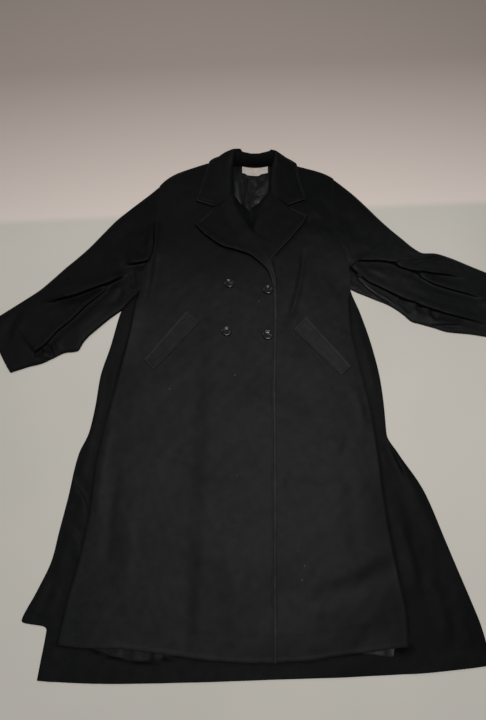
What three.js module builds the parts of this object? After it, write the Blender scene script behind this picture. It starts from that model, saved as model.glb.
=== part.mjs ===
// A long double-breasted wool overcoat with notched lapels, laid flat on its back, buttoned.
// Millimetres, +Z up, collar towards +Y, the wearer's left towards +X.
// The coat is drawn on the table in "layout" coordinates, then shifted so that the
// origin is at the bottom centre of its bounding box.
import * as THREE from 'three';

// ---------------------------------------------------------------- named sizes
const CLOTH = 2.5;            // wool wall
const COLLAR_WALL = 3.0;      // collar: two layers of wool pressed together
const SATIN = 1.0;            // lining wall
const SEAM_GAP = 0.15;        // half of the clearance at each seam line
const REST = 0.5;             // clearance of a panel where it lies on the one below
const LOFT = 3.5;             // air and lining under the middle of a panel
const LOFT_REACH = 60;        // how far in from a side edge the panel has risen
const RAMP = 60;              // how far the upper front takes to climb on to the lower one
const LAPEL_LIFT = 0.9;       // lapels lie this far above the front below them
const BUTTON_D = 26;          // coat buttons
const BUTTON_H = 5.2;
const WELT_T = 2.0;           // pocket welts
const SHIFT = { x: -43.0, y: -373.419 };   // layout to bounding-box centre

// ---------------------------------------------------------------- cut tables (layout mm)
// Armhole seams from shoulder tip to underarm.
const ARMHOLE_R = [[-239, 921], [-243, 850], [-244, 779], [-246, 735], [-248, 695], [-262, 640], [-270, 583], [-292, 553], [-314, 524]];
const ARMHOLE_L = [[262, 946], [256, 893], [251, 840], [253, 784], [260, 742], [271, 700], [282, 655], [284, 620], [283, 586]];

// Top edge of the back from shoulder tip to shoulder tip, dipping at the neck.
const BACK_TOP = [
  { x: -239, y: 921 }, { x: -205, y: 952 }, { x: -165, y: 974 }, { x: -101, y: 999 }, { x: -62, y: 1004 }, { x: -24, y: 993 },
  { x: 12, y: 985 }, { x: 35, y: 984 }, { x: 58, y: 985 }, { x: 92, y: 993 }, { x: 122, y: 998 }, { x: 159, y: 989 }, { x: 204, y: 975 },
  { x: 236, y: 963 }, { x: 262, y: 946 },
];
// Side edges of the back below the underarms: it spreads wider than the fronts.
const BACK_SIDES = [
  { yR: 423, xR: -333, yL: 515, xL: 303 },
  { yR: 343, xR: -350, yL: 423, xL: 324 },
  { yR: 271, xR: -354, yL: 335, xL: 336 },
  { yR: 206, xR: -362, yL: 269, xL: 338 },
  { yR: 159, xR: -379, yL: 205, xL: 337 },
  { yR: 118, xR: -386, yL: 156, xL: 360 },
  { yR: 66, xR: -391, yL: 74, xL: 407 },
  { yR: -12, xR: -402, yL: -34, xL: 441 },
  { yR: -70, xR: -410, yL: -90, xL: 458 },
  { yR: -128, xR: -432, yL: -145, xL: 475 },
  { yR: -184, xR: -456, yL: -195, xL: 489 },
  { yR: -201, xR: -402, yL: -232, xL: 494 },
  { yR: -288, xR: -408, yL: -262, xL: 494 },
];
const BACK_HEM_DIP = 12;      // the back hem hangs lower in the middle

// Fronts: xS,yS is the armhole or side end of a row, xE,yE its neckline or front edge end.
const FRONT_RIGHT = [         // the wearer's right, the upper one
  { xE: -42, yE: 1002 }, { xE: -33, yE: 930 }, { xE: -27, yE: 858 }, { xE: -8, yE: 812 }, { xE: 22, yE: 765 },
  { xE: 48, yE: 700 }, { xE: 77, yE: 633 },
  { xS: -276, yS: 545, xE: 86, yE: 590 }, { xS: -281, yS: 490, xE: 86, yE: 530 }, { xS: -290, yS: 431, xE: 84, yE: 465 },
  { xS: -303, yS: 360, xE: 80, yE: 380 }, { xS: -315, yS: 283, xE: 77, yE: 285 }, { xS: -328, yS: 205, xE: 76, yE: 200 },
  { xS: -337, yS: 120, xE: 74, yE: 110 }, { xS: -339, yS: 34, xE: 73, yE: 25 }, { xS: -349, yS: -60, xE: 70, yE: -65 },
  { xS: -365, yS: -145, xE: 68, yE: -160 }, { xS: -375, yS: -226, xE: 66, yE: -252 },
];
const FRONT_LEFT = [          // the wearer's left, its inner edge hidden under the other
  { xE: 97, yE: 1000 }, { xE: 82, yE: 935 }, { xE: 70, yE: 885 }, { xE: 50, yE: 830 }, { xE: 34, yE: 770 },
  { xE: 8, yE: 715 }, { xE: -24, yE: 665 }, { xE: -44, yE: 628 }, { xE: -56, yE: 590 },
  { xS: 275, yS: 545, xE: -57, yE: 545 }, { xS: 275, yS: 476, xE: -56, yE: 476 }, { xS: 284, yS: 404, xE: -58, yE: 400 },
  { xS: 297, yS: 317, xE: -62, yE: 317 }, { xS: 307, yS: 240, xE: -64, yE: 240 }, { xS: 312, yS: 165, xE: -65, yE: 165 },
  { xS: 315, yS: 80, xE: -67, yE: 80 }, { xS: 320, yS: -5, xE: -68, yE: -5 }, { xS: 329, yS: -95, xE: -71, yE: -90 },
  { xS: 338, yS: -170, xE: -73, yE: -175 }, { xS: 335, yS: -230, xE: -74, yE: -248 },
];
const SHOULDER_ARCH = { right: 26, left: 12 };   // how far the shoulder line bows up
const HEM_DIP = 8;                               // fronts: hem bows down

// Where the upper front has to have climbed on to the lower one.
const CLIMB = [{ y: 1005, x: 120 }, { y: 800, x: 42 }, { y: 753, x: 12 }, { y: 715, x: -8 }, { y: 665, x: -38 }, { y: 628, x: -56 }, { y: 590, x: -66 }, { y: 465, x: -68 }, { y: 200, x: -74 }, { y: -260, x: -84 }];

// Sleeves: station ends on the upper (shoulder) and lower (underarm) contour.
const SLEEVE_RIGHT = [
  { xT: -262, yT: 896, xB: -330, yB: 511 }, { xT: -290, yT: 868, xB: -347, yB: 496 }, { xT: -322, yT: 836, xB: -363, yB: 480 },
  { xT: -354, yT: 802, xB: -378, yB: 465 }, { xT: -386, yT: 759, xB: -392, yB: 450 }, { xT: -418, yT: 715, xB: -403, yB: 434 },
  { xT: -448, yT: 680, xB: -415, yB: 411 }, { xT: -476, yT: 650, xB: -446, yB: 406 }, { xT: -505, yT: 616, xB: -474, yB: 391 },
  { xT: -534, yT: 584, xB: -502, yB: 377 }, { xT: -575, yT: 550, xB: -528, yB: 370 }, { xT: -617, yT: 517, xB: -551, yB: 362 },
  { xT: -655, yT: 487, xB: -573, yB: 354 },
];
const SLEEVE_LEFT = [
  { xT: 290, yT: 918, xB: 303, yB: 575 }, { xT: 318, yT: 888, xB: 325, yB: 565 }, { xT: 350, yT: 848, xB: 348, yB: 554 },
  { xT: 381, yT: 807, xB: 372, yB: 543 }, { xT: 411, yT: 771, xB: 394, yB: 529 }, { xT: 438, yT: 742, xB: 414, yB: 512 },
  { xT: 464, yT: 714, xB: 434, yB: 492 }, { xT: 489, yT: 697, xB: 459, yB: 484 }, { xT: 520, yT: 696, xB: 490, yB: 474 },
  { xT: 556, yT: 684, xB: 522, yB: 463 }, { xT: 615, yT: 654, xB: 577, yB: 457 }, { xT: 678, yT: 622, xB: 634, yB: 447 },
  { xT: 741, yT: 590, xB: 691, yB: 438 },
];
const SLEEVE_LOFT = 3.0;      // gap left inside the flattened sleeve

// Largest folds of the sleeves. Each runs along a path; the cloth stands `high` on its left
// side as the path is followed, falls off within `soft`, and sinks back over `reach`.
const FOLDS_RIGHT = [
  { path: [[-312, 653], [-280, 663], [-249, 673], [-245, 720], [-243, 775]], high: 9, soft: 7, reach: 60 },
  { path: [[-500, 543], [-442, 557], [-385, 584], [-337, 605], [-304, 628]], high: 10, soft: 7, reach: 60 },
  { path: [[-575, 372], [-520, 405], [-470, 457], [-437, 495], [-364, 570], [-345, 597]], high: 4, soft: 6, reach: 60 },
];
const FOLDS_LEFT = [
  { path: [[282, 648], [298, 659], [354, 660], [396, 655], [459, 660], [515, 682]], high: 11, soft: 7, reach: 70 },
  { path: [[396, 655], [425, 640], [455, 628], [489, 624], [538, 618], [630, 590]], high: 7, soft: 6, reach: 40 },
  { path: [[452, 624], [486, 597], [532, 580], [600, 553]], high: 5, soft: 6, reach: 40 },
  { path: [[287, 643], [328, 603], [368, 581], [409, 559], [466, 532], [522, 507], [600, 482], [700, 452]], high: 8, soft: 6, reach: 70 },
];

// Lapels: roll line end and outer edge end of each row.
const LAPEL_RIGHT = [
  { xR: -29, yR: 876, xE: -129, yE: 779 }, { xR: -27, yR: 852, xE: -114, yE: 760 }, { xR: -14, yR: 820, xE: -87, yE: 735 },
  { xR: 4, yR: 792, xE: -54, yE: 711 }, { xR: 20, yR: 764, xE: -11, yE: 695 }, { xR: 33, yR: 731, xE: 16, yE: 684 },
  { xR: 47, yR: 699, xE: 42, yE: 663 }, { xR: 61, yR: 664, xE: 56, yE: 647 }, { xR: 74, yR: 635, xE: 67, yE: 634 },
];
const APEX_RIGHT = { x: -79, y: 838 };
const LAPEL_LEFT = [
  { xR: 76, yR: 888, xE: 177, yE: 809 }, { xR: 64, yR: 862, xE: 163, yE: 780 }, { xR: 52, yR: 832, xE: 146, yE: 757 },
  { xR: 42, yR: 800, xE: 127, yE: 732 }, { xR: 33, yR: 766, xE: 107, yE: 708 }, { xR: 45, yR: 722, xE: 90, yE: 688 },
  { xR: 58, yR: 688, xE: 77, yE: 673 },
];
const APEX_LEFT = { x: 127, y: 839 };

// Collar: S foot of the stand, R roll line, M middle of the leaf, E leaf edge.
const COLLAR = [
  { S: [-36, 884, 12.6], R: [-28, 881, 21], M: [-79, 842, 14], E: [-131, 860, 12.2] },
  { S: [-37, 905, 12.2], R: [-28, 908, 25], M: [-78, 882, 15], E: [-123, 889, 12.2] },
  { S: [-38, 935, 12.2], R: [-29, 938, 31], M: [-75, 922, 18], E: [-115, 925, 12.2] },
  { S: [-36, 962, 12.2], R: [-28, 970, 36], M: [-70, 962, 22], E: [-107, 957, 12.2] },
  { S: [-30, 984, 12.0], R: [-24, 998, 40], M: [-63, 995, 26], E: [-100, 990, 12.4] },
  { S: [-22, 992, 9.0], R: [-20, 1014, 42], M: [-58, 1012, 27], E: [-98, 1002, 12.4] },
  { S: [-13, 991, 4.5], R: [-15, 1018, 42], M: [-46, 1020, 26], E: [-84, 1020, 7] },
  { S: [8, 990, 3.6], R: [8, 1010, 42], M: [-6, 1028, 17], E: [-20, 1040, 3.8] },
  { S: [35, 989, 3.6], R: [34, 1004, 42], M: [34, 1022, 18], E: [34, 1038, 3.8] },
  { S: [62, 990, 3.6], R: [62, 1008, 42], M: [73, 1026, 18], E: [88, 1038, 3.8] },
  { S: [82, 991, 4.5], R: [84, 1014, 42], M: [110, 1014, 27], E: [142, 1012, 7] },
  { S: [90, 990, 9.0], R: [89, 1004, 41], M: [122, 1001, 27], E: [156, 994, 12.6] },
  { S: [94, 980, 12.0], R: [87, 988, 39], M: [124, 984, 25], E: [158, 979, 12.4] },
  { S: [92, 958, 12.2], R: [80, 962, 35], M: [122, 948, 21], E: [161, 948, 12.2] },
  { S: [88, 932, 12.2], R: [77, 934, 30], M: [123, 914, 17], E: [167, 918, 12.2] },
  { S: [85, 912, 12.2], R: [75, 913, 25], M: [125, 880, 15], E: [174, 888, 12.2] },
  { S: [84, 897, 12.6], R: [74, 893, 21], M: [127, 844, 14], E: [175, 864, 12.2] },
];
const COLLAR_BEND = 0.16;     // share of stand and leaf taken up by the rounded roll

// Lining glimpsed inside the neck and under the front hem.
const LINING_NECK = { xR: -26, xL: 80, yTop: 983, yLow: 800, rows: 7, cols: 6 };
const LINING_HEM = { xR: -292, xL: 312, yTop: -205, yLow: -247, cols: 14 };
const SIZE_LABEL = { x: 35, y: 974, w: 74, h: 22, t: 0.8, bow: 3 };

const BUTTONS = [
  { name: 'button_upper_right', x: -36, y: 594 }, { name: 'button_upper_left', x: 65, y: 576 },
  { name: 'button_lower_right', x: -41, y: 458 }, { name: 'button_lower_left', x: 62, y: 449 },
];
const WELT_RIGHT = { top: [-144, 517], topIn: [-113, 486], lowIn: [-219, 359], low: [-243, 385] };
const WELT_LEFT = { top: [160, 500], topIn: [129, 466], lowIn: [238, 346], low: [264, 367] };

// ---------------------------------------------------------------- small maths
const lerp = (a, b, t) => a + (b - a) * t;
const clamp = (v, lo, hi) => Math.min(hi, Math.max(lo, v));
const smooth = (t) => { const c = clamp(t, 0, 1); return c * c * (3 - 2 * c); };
const arch = (u) => 1 - (2 * u - 1) ** 4;

function interp(table, key, value, at) {          // table sorted by key, either way
  const sorted = [...table].sort((a, b) => a[key] - b[key]);
  if (at <= sorted[0][key]) return sorted[0][value];
  for (let i = 1; i < sorted.length; i++) {
    if (at <= sorted[i][key]) {
      const t = (at - sorted[i - 1][key]) / (sorted[i][key] - sorted[i - 1][key]);
      return lerp(sorted[i - 1][value], sorted[i][value], t);
    }
  }
  return sorted[sorted.length - 1][value];
}

// Signed distance to a path (positive on its left), and how far along it, 0 to 1.
function alongPath(path, x, y) {
  let best = { d: Infinity, s: 0 }; let walked = 0; const legs = [];
  for (let i = 1; i < path.length; i++) legs.push(Math.hypot(path[i][0] - path[i - 1][0], path[i][1] - path[i - 1][1]));
  const total = legs.reduce((a, b) => a + b, 0);
  for (let i = 1; i < path.length; i++) {
    const [ax, ay] = path[i - 1], [bx, by] = path[i], len = legs[i - 1];
    const ux = (bx - ax) / len, uy = (by - ay) / len;
    const t = clamp((x - ax) * ux + (y - ay) * uy, 0, len);
    const dx = x - ax - ux * t, dy = y - ay - uy * t, dist = Math.hypot(dx, dy);
    if (dist < Math.abs(best.d)) best = { d: (ux * dy - uy * dx >= 0 ? 1 : -1) * dist, s: (walked + t) / total };
    walked += len;
  }
  return best;
}
function foldHeight(folds, x, y) {
  let z = 0;
  for (const f of folds) {
    const { d, s } = alongPath(f.path, x, y);
    const ends = smooth(s / 0.18) * smooth((1 - s) / 0.18);
    z += f.high * ends * smooth((d + f.soft) / (2 * f.soft)) * Math.exp(-Math.max(d, 0) / f.reach);
  }
  return z;
}

// ---------------------------------------------------------------- solids
function orient(pos, tri) {                       // faces pointing out: positive volume
  let v = 0;
  for (const [a, b, c] of tri) {
    const p = pos[a], q = pos[b], r = pos[c];
    v += p[0] * (q[1] * r[2] - q[2] * r[1]) - p[1] * (q[0] * r[2] - q[2] * r[0]) + p[2] * (q[0] * r[1] - q[1] * r[0]);
  }
  return v < 0 ? tri.map(([a, b, c]) => [a, c, b]) : tri;
}
function geometry(pos, tri) {
  const g = new THREE.BufferGeometry();
  g.setAttribute('position', new THREE.Float32BufferAttribute(pos.flat(), 3));
  g.setIndex(orient(pos, tri).flat());
  g.computeVertexNormals();
  return g;
}
// A wall between two lattices of points, top[i][j] and under[i][j].
function wall(top, under) {
  const n = top.length, m = top[0].length, pos = [...top.flat(), ...under.flat()], off = n * m, tri = [];
  const T = (i, j) => i * m + j, U = (i, j) => off + i * m + j;
  for (let i = 0; i < n - 1; i++) for (let j = 0; j < m - 1; j++) {
    tri.push([T(i, j), T(i + 1, j), T(i + 1, j + 1)], [T(i, j), T(i + 1, j + 1), T(i, j + 1)]);
    tri.push([U(i, j), U(i + 1, j + 1), U(i + 1, j)], [U(i, j), U(i, j + 1), U(i + 1, j + 1)]);
  }
  const side = (a, b, c, d) => tri.push([a, b, c], [a, c, d]);
  for (let i = 0; i < n - 1; i++) { side(T(i, 0), U(i, 0), U(i + 1, 0), T(i + 1, 0)); side(T(i + 1, m - 1), U(i + 1, m - 1), U(i, m - 1), T(i, m - 1)); }
  for (let j = 0; j < m - 1; j++) { side(T(0, j + 1), U(0, j + 1), U(0, j), T(0, j)); side(T(n - 1, j), U(n - 1, j), U(n - 1, j + 1), T(n - 1, j + 1)); }
  return geometry(pos, tri);
}
// A tube wall: rings of outer and inner points, open at both ends.
function tubeWall(outer, inner) {
  const n = outer.length, m = outer[0].length, pos = [...outer.flat(), ...inner.flat()], off = n * m, tri = [];
  const O = (i, k) => i * m + (k % m), I = (i, k) => off + i * m + (k % m);
  for (let i = 0; i < n - 1; i++) for (let k = 0; k < m; k++) {
    tri.push([O(i, k), O(i + 1, k), O(i + 1, k + 1)], [O(i, k), O(i + 1, k + 1), O(i, k + 1)]);
    tri.push([I(i, k), I(i + 1, k + 1), I(i + 1, k)], [I(i, k), I(i, k + 1), I(i + 1, k + 1)]);
  }
  for (let k = 0; k < m; k++) {
    tri.push([O(0, k), O(0, k + 1), I(0, k + 1)], [O(0, k), I(0, k + 1), I(0, k)]);
    tri.push([O(n - 1, k + 1), O(n - 1, k), I(n - 1, k)], [O(n - 1, k + 1), I(n - 1, k), I(n - 1, k + 1)]);
  }
  return geometry(pos, tri);
}
// Height of a lattice's own facets at a point, so that what lies on it follows it.
function heightOf(top) {
  return (x, y) => {
    let best = -Infinity;
    const test = (p, q, r) => {
      const det = (q[1] - r[1]) * (p[0] - r[0]) + (r[0] - q[0]) * (p[1] - r[1]);
      if (Math.abs(det) < 1e-9) return;
      const a = ((q[1] - r[1]) * (x - r[0]) + (r[0] - q[0]) * (y - r[1])) / det;
      const b = ((r[1] - p[1]) * (x - r[0]) + (p[0] - r[0]) * (y - r[1])) / det;
      if (a < -1e-6 || b < -1e-6 || a + b > 1 + 1e-6) return;
      best = Math.max(best, a * p[2] + b * q[2] + (1 - a - b) * r[2]);
    };
    for (let i = 0; i < top.length - 1; i++) for (let j = 0; j < top[0].length - 1; j++) {
      test(top[i][j], top[i + 1][j], top[i + 1][j + 1]); test(top[i][j], top[i + 1][j + 1], top[i][j + 1]);
    }
    return best;
  };
}
const lowered = (lattice, t) => lattice.map((row) => row.map(([x, y, z]) => [x, y, z - t]));

// ---------------------------------------------------------------- panels
function backTop() {
  const rows = [], cols = 14, n = ARMHOLE_R.length;
  for (let i = 0; i < n; i++) {
    const [xa, ya] = ARMHOLE_R[i], [xb, yb] = ARMHOLE_L[i], fade = (1 - i / (n - 1)) ** 2, row = [];
    for (let j = 0; j <= cols; j++) {
      const u = j / cols, xTop = BACK_TOP[j].x;
      const even = lerp(xa + SEAM_GAP, xb - SEAM_GAP, u), byTop = lerp(xa + SEAM_GAP, xb - SEAM_GAP, (xTop + 239) / 501);
      const base = lerp(ya, yb, u), lineTop = lerp(921, 946, u);
      row.push([lerp(even, byTop, fade), base + (BACK_TOP[j].y - lineTop) * fade, CLOTH]);
    }
    rows.push(row);
  }
  for (const [i, r] of BACK_SIDES.entries()) {
    const dip = -BACK_HEM_DIP * smooth((i - 6) / 6), row = [];
    for (let j = 0; j <= cols; j++) { const u = j / cols; row.push([lerp(r.xR, r.xL, u), lerp(r.yR, r.yL, u) + dip * arch(u), CLOTH]); }
    rows.push(row);
  }
  return rows;
}

// Column positions across a front: close together where it climbs, from side (0) to edge (1).
function frontTop(table, armhole, sign, archUp, lift, climbs) {
  const rows = [];
  table.forEach((r, i) => {
    const side = i < armhole.length && r.xS === undefined ? armhole[i] : [r.xS, r.yS];
    const xs = side[0] + sign * SEAM_GAP, ys = side[1], row = [];
    const width = Math.abs(r.xE - xs);
    const marks = [0, 22 / width, 44 / width, LOFT_REACH / width];
    // further columns: evenly spread, or at the foot, middle and head of the climb
    const yMid = lerp(ys, r.yE, 0.6), head = clamp(1 - Math.abs(r.xE - interp(CLIMB, 'y', 'x', yMid)) / width, 0.78, 0.97);
    if (climbs) {
      const foot = head - RAMP / width, from = LOFT_REACH / width;
      marks.push(lerp(from, foot, 0.5), foot, lerp(foot, head, 0.5), head, lerp(head, 1, 0.5), 1);
    } else for (let k = 1; k <= 7; k++) marks.push(lerp(LOFT_REACH / width, 1, k / 7));
    const fade = Math.max(0, 1 - i / 3) ** 2, dip = -HEM_DIP * smooth((i - table.length + 6) / 5);
    for (const u of marks) {
      const x = lerp(xs, r.xE, u), y = lerp(ys, r.yE, u) + archUp * fade * arch(u) + dip * arch(u);
      const air = lerp(REST, LOFT, clamp(u * width / LOFT_REACH, 0, 1));
      row.push([x, y, CLOTH + air + CLOTH + lift(x, y)]);
    }
    rows.push(row);
  });
  return rows;
}
const climb = (x, y) => (CLOTH + 0.8) * clamp((x - (interp(CLIMB, 'y', 'x', y) - RAMP)) / RAMP, 0, 1);

function flap(top, table, apex, thick) {          // lapel: rows from roll line to outer edge
  const cols = 5;
  const rows = table.map((r, i) => {
    const row = [], bend = Math.max(0, 1 - i / 2) ** 2;
    for (let j = 0; j <= cols; j++) {
      const u = j / cols, mid = 0.5;
      let x = lerp(r.xR, r.xE, u), y = lerp(r.yR, r.yE, u);
      const k = u < mid ? u / mid : (1 - u) / (1 - mid);
      x += (apex.x - lerp(table[0].xR, table[0].xE, mid)) * k * bend;
      y += (apex.y - lerp(table[0].yR, table[0].yE, mid)) * k * bend;
      const roll = 3.5 * (1 - smooth(u / 0.45)) * smooth((table.length - 1 - i) / 4);
      row.push([x, y, 0, roll]);
    }
    return row;
  });
  return rows.map((row) => row.map(([x, y, , roll]) => {
    let z = top(x, y);
    if (!Number.isFinite(z)) z = Math.max(...[[3, 0], [-3, 0], [0, 3], [0, -3], [6, 0], [-6, 0], [0, 6], [0, -6]].map(([dx, dy]) => top(x + dx, y + dy)));
    if (!Number.isFinite(z)) z = CLOTH * 2 + LOFT;
    return [x, y, z + LAPEL_LIFT + thick + roll];
  }));
}

function sleeveRings(armhole, table, folds, sign) {
  const cols = 16, outer = [], inner = [], n = table.length;
  const seam = (t) => {
    const f = t * (armhole.length - 1), i = Math.min(Math.floor(f), armhole.length - 2);
    return [lerp(armhole[i][0], armhole[i + 1][0], f - i), lerp(armhole[i][1], armhole[i + 1][1], f - i)];
  };
  for (let s = 0; s <= n; s++) {
    const T = s === 0 ? armhole[0] : [table[s - 1].xT, table[s - 1].yT];
    const B = s === 0 ? armhole[armhole.length - 1] : [table[s - 1].xB, table[s - 1].yB];
    const bow = Math.max(0, 1 - s / 5) ** 1.5, upper = [], lower = [];
    const at = (t, inset) => {
      const A = seam(t), chord = [lerp(armhole[0][0], armhole.at(-1)[0], t), lerp(armhole[0][1], armhole.at(-1)[1], t)];
      const L = Math.hypot(B[0] - T[0], B[1] - T[1]), tt = inset ? clamp(t, CLOTH / L, 1 - CLOTH / L) : t;
      const shift = s === 0 ? -sign * SEAM_GAP : 0;
      return [lerp(T[0], B[0], tt) + (A[0] - chord[0]) * bow + shift, lerp(T[1], B[1], tt) + (A[1] - chord[1]) * bow];
    };
    const ringO = [], ringI = [];
    for (let j = 0; j <= cols; j++) {             // over the top, shoulder side to underarm side
      const t = j / cols, [x, y] = at(t, false), [xi, yi] = at(t, true);
      const edge = j === 0 || j === cols;
      const body = CLOTH * 2 + lerp(REST, SLEEVE_LOFT, smooth(Math.min(t, 1 - t) / 0.15));
      const raised = foldHeight(folds, x, y) * smooth(Math.min(t, 1 - t) / 0.12) * smooth(s / 2) * smooth((n - s) / 2);
      ringO.push([x, y, (edge ? CLOTH * 1.6 : body + raised)]);
      ringI.push([xi, yi, edge ? CLOTH + REST * 0.8 : body - CLOTH]);
    }
    for (let j = cols; j >= 0; j--) {             // and back underneath
      const t = j / cols, [x, y] = at(t, false), [xi, yi] = at(t, true);
      ringO.push([x, y, 0]); ringI.push([xi, yi, CLOTH]);
    }
    outer.push(ringO); inner.push(ringI);
  }
  return { outer, inner };
}

function collarLattice() {
  const top = COLLAR.map(({ S, R, M, E }) => {
    const mix = (A, B, t) => A.map((a, i) => lerp(a, B[i], t));
    return [S, mix(S, R, 0.5), mix(S, R, 1 - COLLAR_BEND), mix(mix(S, R, 1 - COLLAR_BEND / 2), mix(R, M, COLLAR_BEND / 2), 0.5).map((v, i) => v + (i === 2 ? 1.2 : 0)), mix(R, M, COLLAR_BEND), mix(R, M, 0.5), M, mix(M, E, 0.5), E];
  });
  // wall thickness goes to the hidden side, along the lattice normals
  const n = top.length, m = top[0].length, under = [];
  for (let i = 0; i < n; i++) {
    under.push(top[i].map((p, j) => {
      const a = top[Math.max(i - 1, 0)][j], b = top[Math.min(i + 1, n - 1)][j], c = top[i][Math.max(j - 1, 0)], d = top[i][Math.min(j + 1, m - 1)];
      const u = new THREE.Vector3(b[0] - a[0], b[1] - a[1], b[2] - a[2]), v = new THREE.Vector3(d[0] - c[0], d[1] - c[1], d[2] - c[2]);
      const nrm = u.cross(v).normalize();
      const s = -COLLAR_WALL;
      return [p[0] + nrm.x * s, p[1] + nrm.y * s, p[2] + nrm.z * s];
    }));
  }
  return { top, under };
}

function panelQuad(q, rows, cols, top, lift, thick) {      // four-cornered piece lying on a panel
  const out = [];
  for (let i = 0; i <= rows; i++) {
    const v = i / rows, row = [];
    for (let j = 0; j <= cols; j++) {
      const u = j / cols;
      const x = lerp(lerp(q.top[0], q.topIn[0], u), lerp(q.low[0], q.lowIn[0], u), v), y = lerp(lerp(q.top[1], q.topIn[1], u), lerp(q.low[1], q.lowIn[1], u), v);
      row.push([x, y, top(x, y) + lift + thick]);
    }
    out.push(row);
  }
  return out;
}

// Button: a domed disc with a sunk middle, turned about its own axis.
function button(d, h) {
  const R = d / 2, prof = [[0, 0], [R - 1.2, 0], [R, 1.4], [R - 0.4, 3.2], [R - 2.2, h], [R - 4.2, h - 0.5], [R - 5.6, h - 2.2], [0, h - 2.4]];
  const seg = 16, pos = [[0, 0, 0]], tri = [], rings = prof.length - 2;
  for (let k = 1; k <= rings; k++) for (let s = 0; s < seg; s++) { const a = 2 * Math.PI * s / seg; pos.push([prof[k][0] * Math.cos(a), prof[k][0] * Math.sin(a), prof[k][1]]); }
  pos.push([0, 0, prof.at(-1)[1]]);
  const P = (k, s) => 1 + (k - 1) * seg + (s % seg), last = pos.length - 1;
  for (let s = 0; s < seg; s++) {
    tri.push([0, P(1, s + 1), P(1, s)], [last, P(rings, s), P(rings, s + 1)]);
    for (let k = 1; k < rings; k++) tri.push([P(k, s), P(k, s + 1), P(k + 1, s + 1)], [P(k, s), P(k + 1, s + 1), P(k + 1, s)]);
  }
  return geometry(pos, tri);
}

// ---------------------------------------------------------------- the coat
const wool = (shade) => new THREE.MeshStandardMaterial({ color: shade, roughness: 0.95, metalness: 0 });
const satin = new THREE.MeshStandardMaterial({ color: 0x1b1c1c, roughness: 0.3, metalness: 0 });
const paperWhite = new THREE.MeshStandardMaterial({ color: 0xd8d2cb, roughness: 0.7, metalness: 0 });
const resin = new THREE.MeshStandardMaterial({ color: 0x0b0b0b, roughness: 0.15, metalness: 0 });

const coat = new THREE.Group();
coat.name = 'overcoat';
coat.position.set(SHIFT.x, SHIFT.y, 0);
function add(name, geo, material, place) {
  const mesh = new THREE.Mesh(geo, material);
  mesh.name = name;
  if (place) mesh.position.set(...place);
  coat.add(mesh);
  return mesh;
}

const back = backTop();
add('back', wall(back, lowered(back, CLOTH)), wool(0x121414));

const frontLeft = frontTop(FRONT_LEFT, ARMHOLE_L, -1, SHOULDER_ARCH.left, () => 0, false);
add('front_left', wall(frontLeft, lowered(frontLeft, CLOTH)), wool(0x171919));
const frontRight = frontTop(FRONT_RIGHT, ARMHOLE_R, 1, SHOULDER_ARCH.right, climb, true);
add('front_right', wall(frontRight, lowered(frontRight, CLOTH)), wool(0x181a1a));

const onLeft = heightOf(frontLeft), onRight = heightOf(frontRight);
const lapelLeft = flap(onLeft, LAPEL_LEFT, APEX_LEFT, CLOTH);
add('lapel_left', wall(lapelLeft, lowered(lapelLeft, CLOTH)), wool(0x141616));
const lapelRight = flap(onRight, LAPEL_RIGHT, APEX_RIGHT, CLOTH);
add('lapel_right', wall(lapelRight, lowered(lapelRight, CLOTH)), wool(0x141616));

const collar = collarLattice();
add('collar', wall(collar.top, collar.under), wool(0x131515));

const right = sleeveRings(ARMHOLE_R, SLEEVE_RIGHT, FOLDS_RIGHT, 1);
add('sleeve_right', tubeWall(right.outer, right.inner), wool(0x131515));
const left = sleeveRings(ARMHOLE_L, SLEEVE_LEFT, FOLDS_LEFT, -1);
add('sleeve_left', tubeWall(left.outer, left.inner), wool(0x151717));

// lining: a satin skin on the back, inside the neck and just under the front hem
function skin({ xR, xL, yTop, yLow, rows = 2, cols }, yBow, z) {
  const out = [];
  for (let i = 0; i <= rows; i++) {
    const row = [];
    for (let j = 0; j <= cols; j++) { const u = j / cols; row.push([lerp(xR, xL, u), lerp(yTop, yLow, i / rows) + yBow * arch(u) * (i / rows), z]); }
    out.push(row);
  }
  return out;
}
const liningZ = CLOTH + REST + SATIN;
const neck = skin(LINING_NECK, 0, liningZ);
add('lining_neck', wall(neck, lowered(neck, SATIN)), satin);
const hem = skin(LINING_HEM, -9, liningZ);
add('lining_hem', wall(hem, lowered(hem, SATIN)), satin);

const labelTop = [];
for (let i = 0; i <= 2; i++) {
  const row = [];
  for (let j = 0; j <= 6; j++) {
    const u = j / 6 - 0.5;
    row.push([SIZE_LABEL.x + u * SIZE_LABEL.w, SIZE_LABEL.y + (0.5 - i / 2) * SIZE_LABEL.h + SIZE_LABEL.bow * (4 * u * u - 1), liningZ + REST + SIZE_LABEL.t]);
  }
  labelTop.push(row);
}
add('label', wall(labelTop, lowered(labelTop, SIZE_LABEL.t)), paperWhite);

const weltR = panelQuad(WELT_RIGHT, 6, 3, onRight, REST, WELT_T);
add('welt_right', wall(weltR, lowered(weltR, WELT_T)), wool(0x181a1a));
const weltL = panelQuad(WELT_LEFT, 6, 3, onLeft, REST, WELT_T);
add('welt_left', wall(weltL, lowered(weltL, WELT_T)), wool(0x171919));

for (const b of BUTTONS) add(b.name, button(BUTTON_D, BUTTON_H), resin, [b.x, b.y, onRight(b.x, b.y) + 0.4]);

export default coat;
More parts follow.
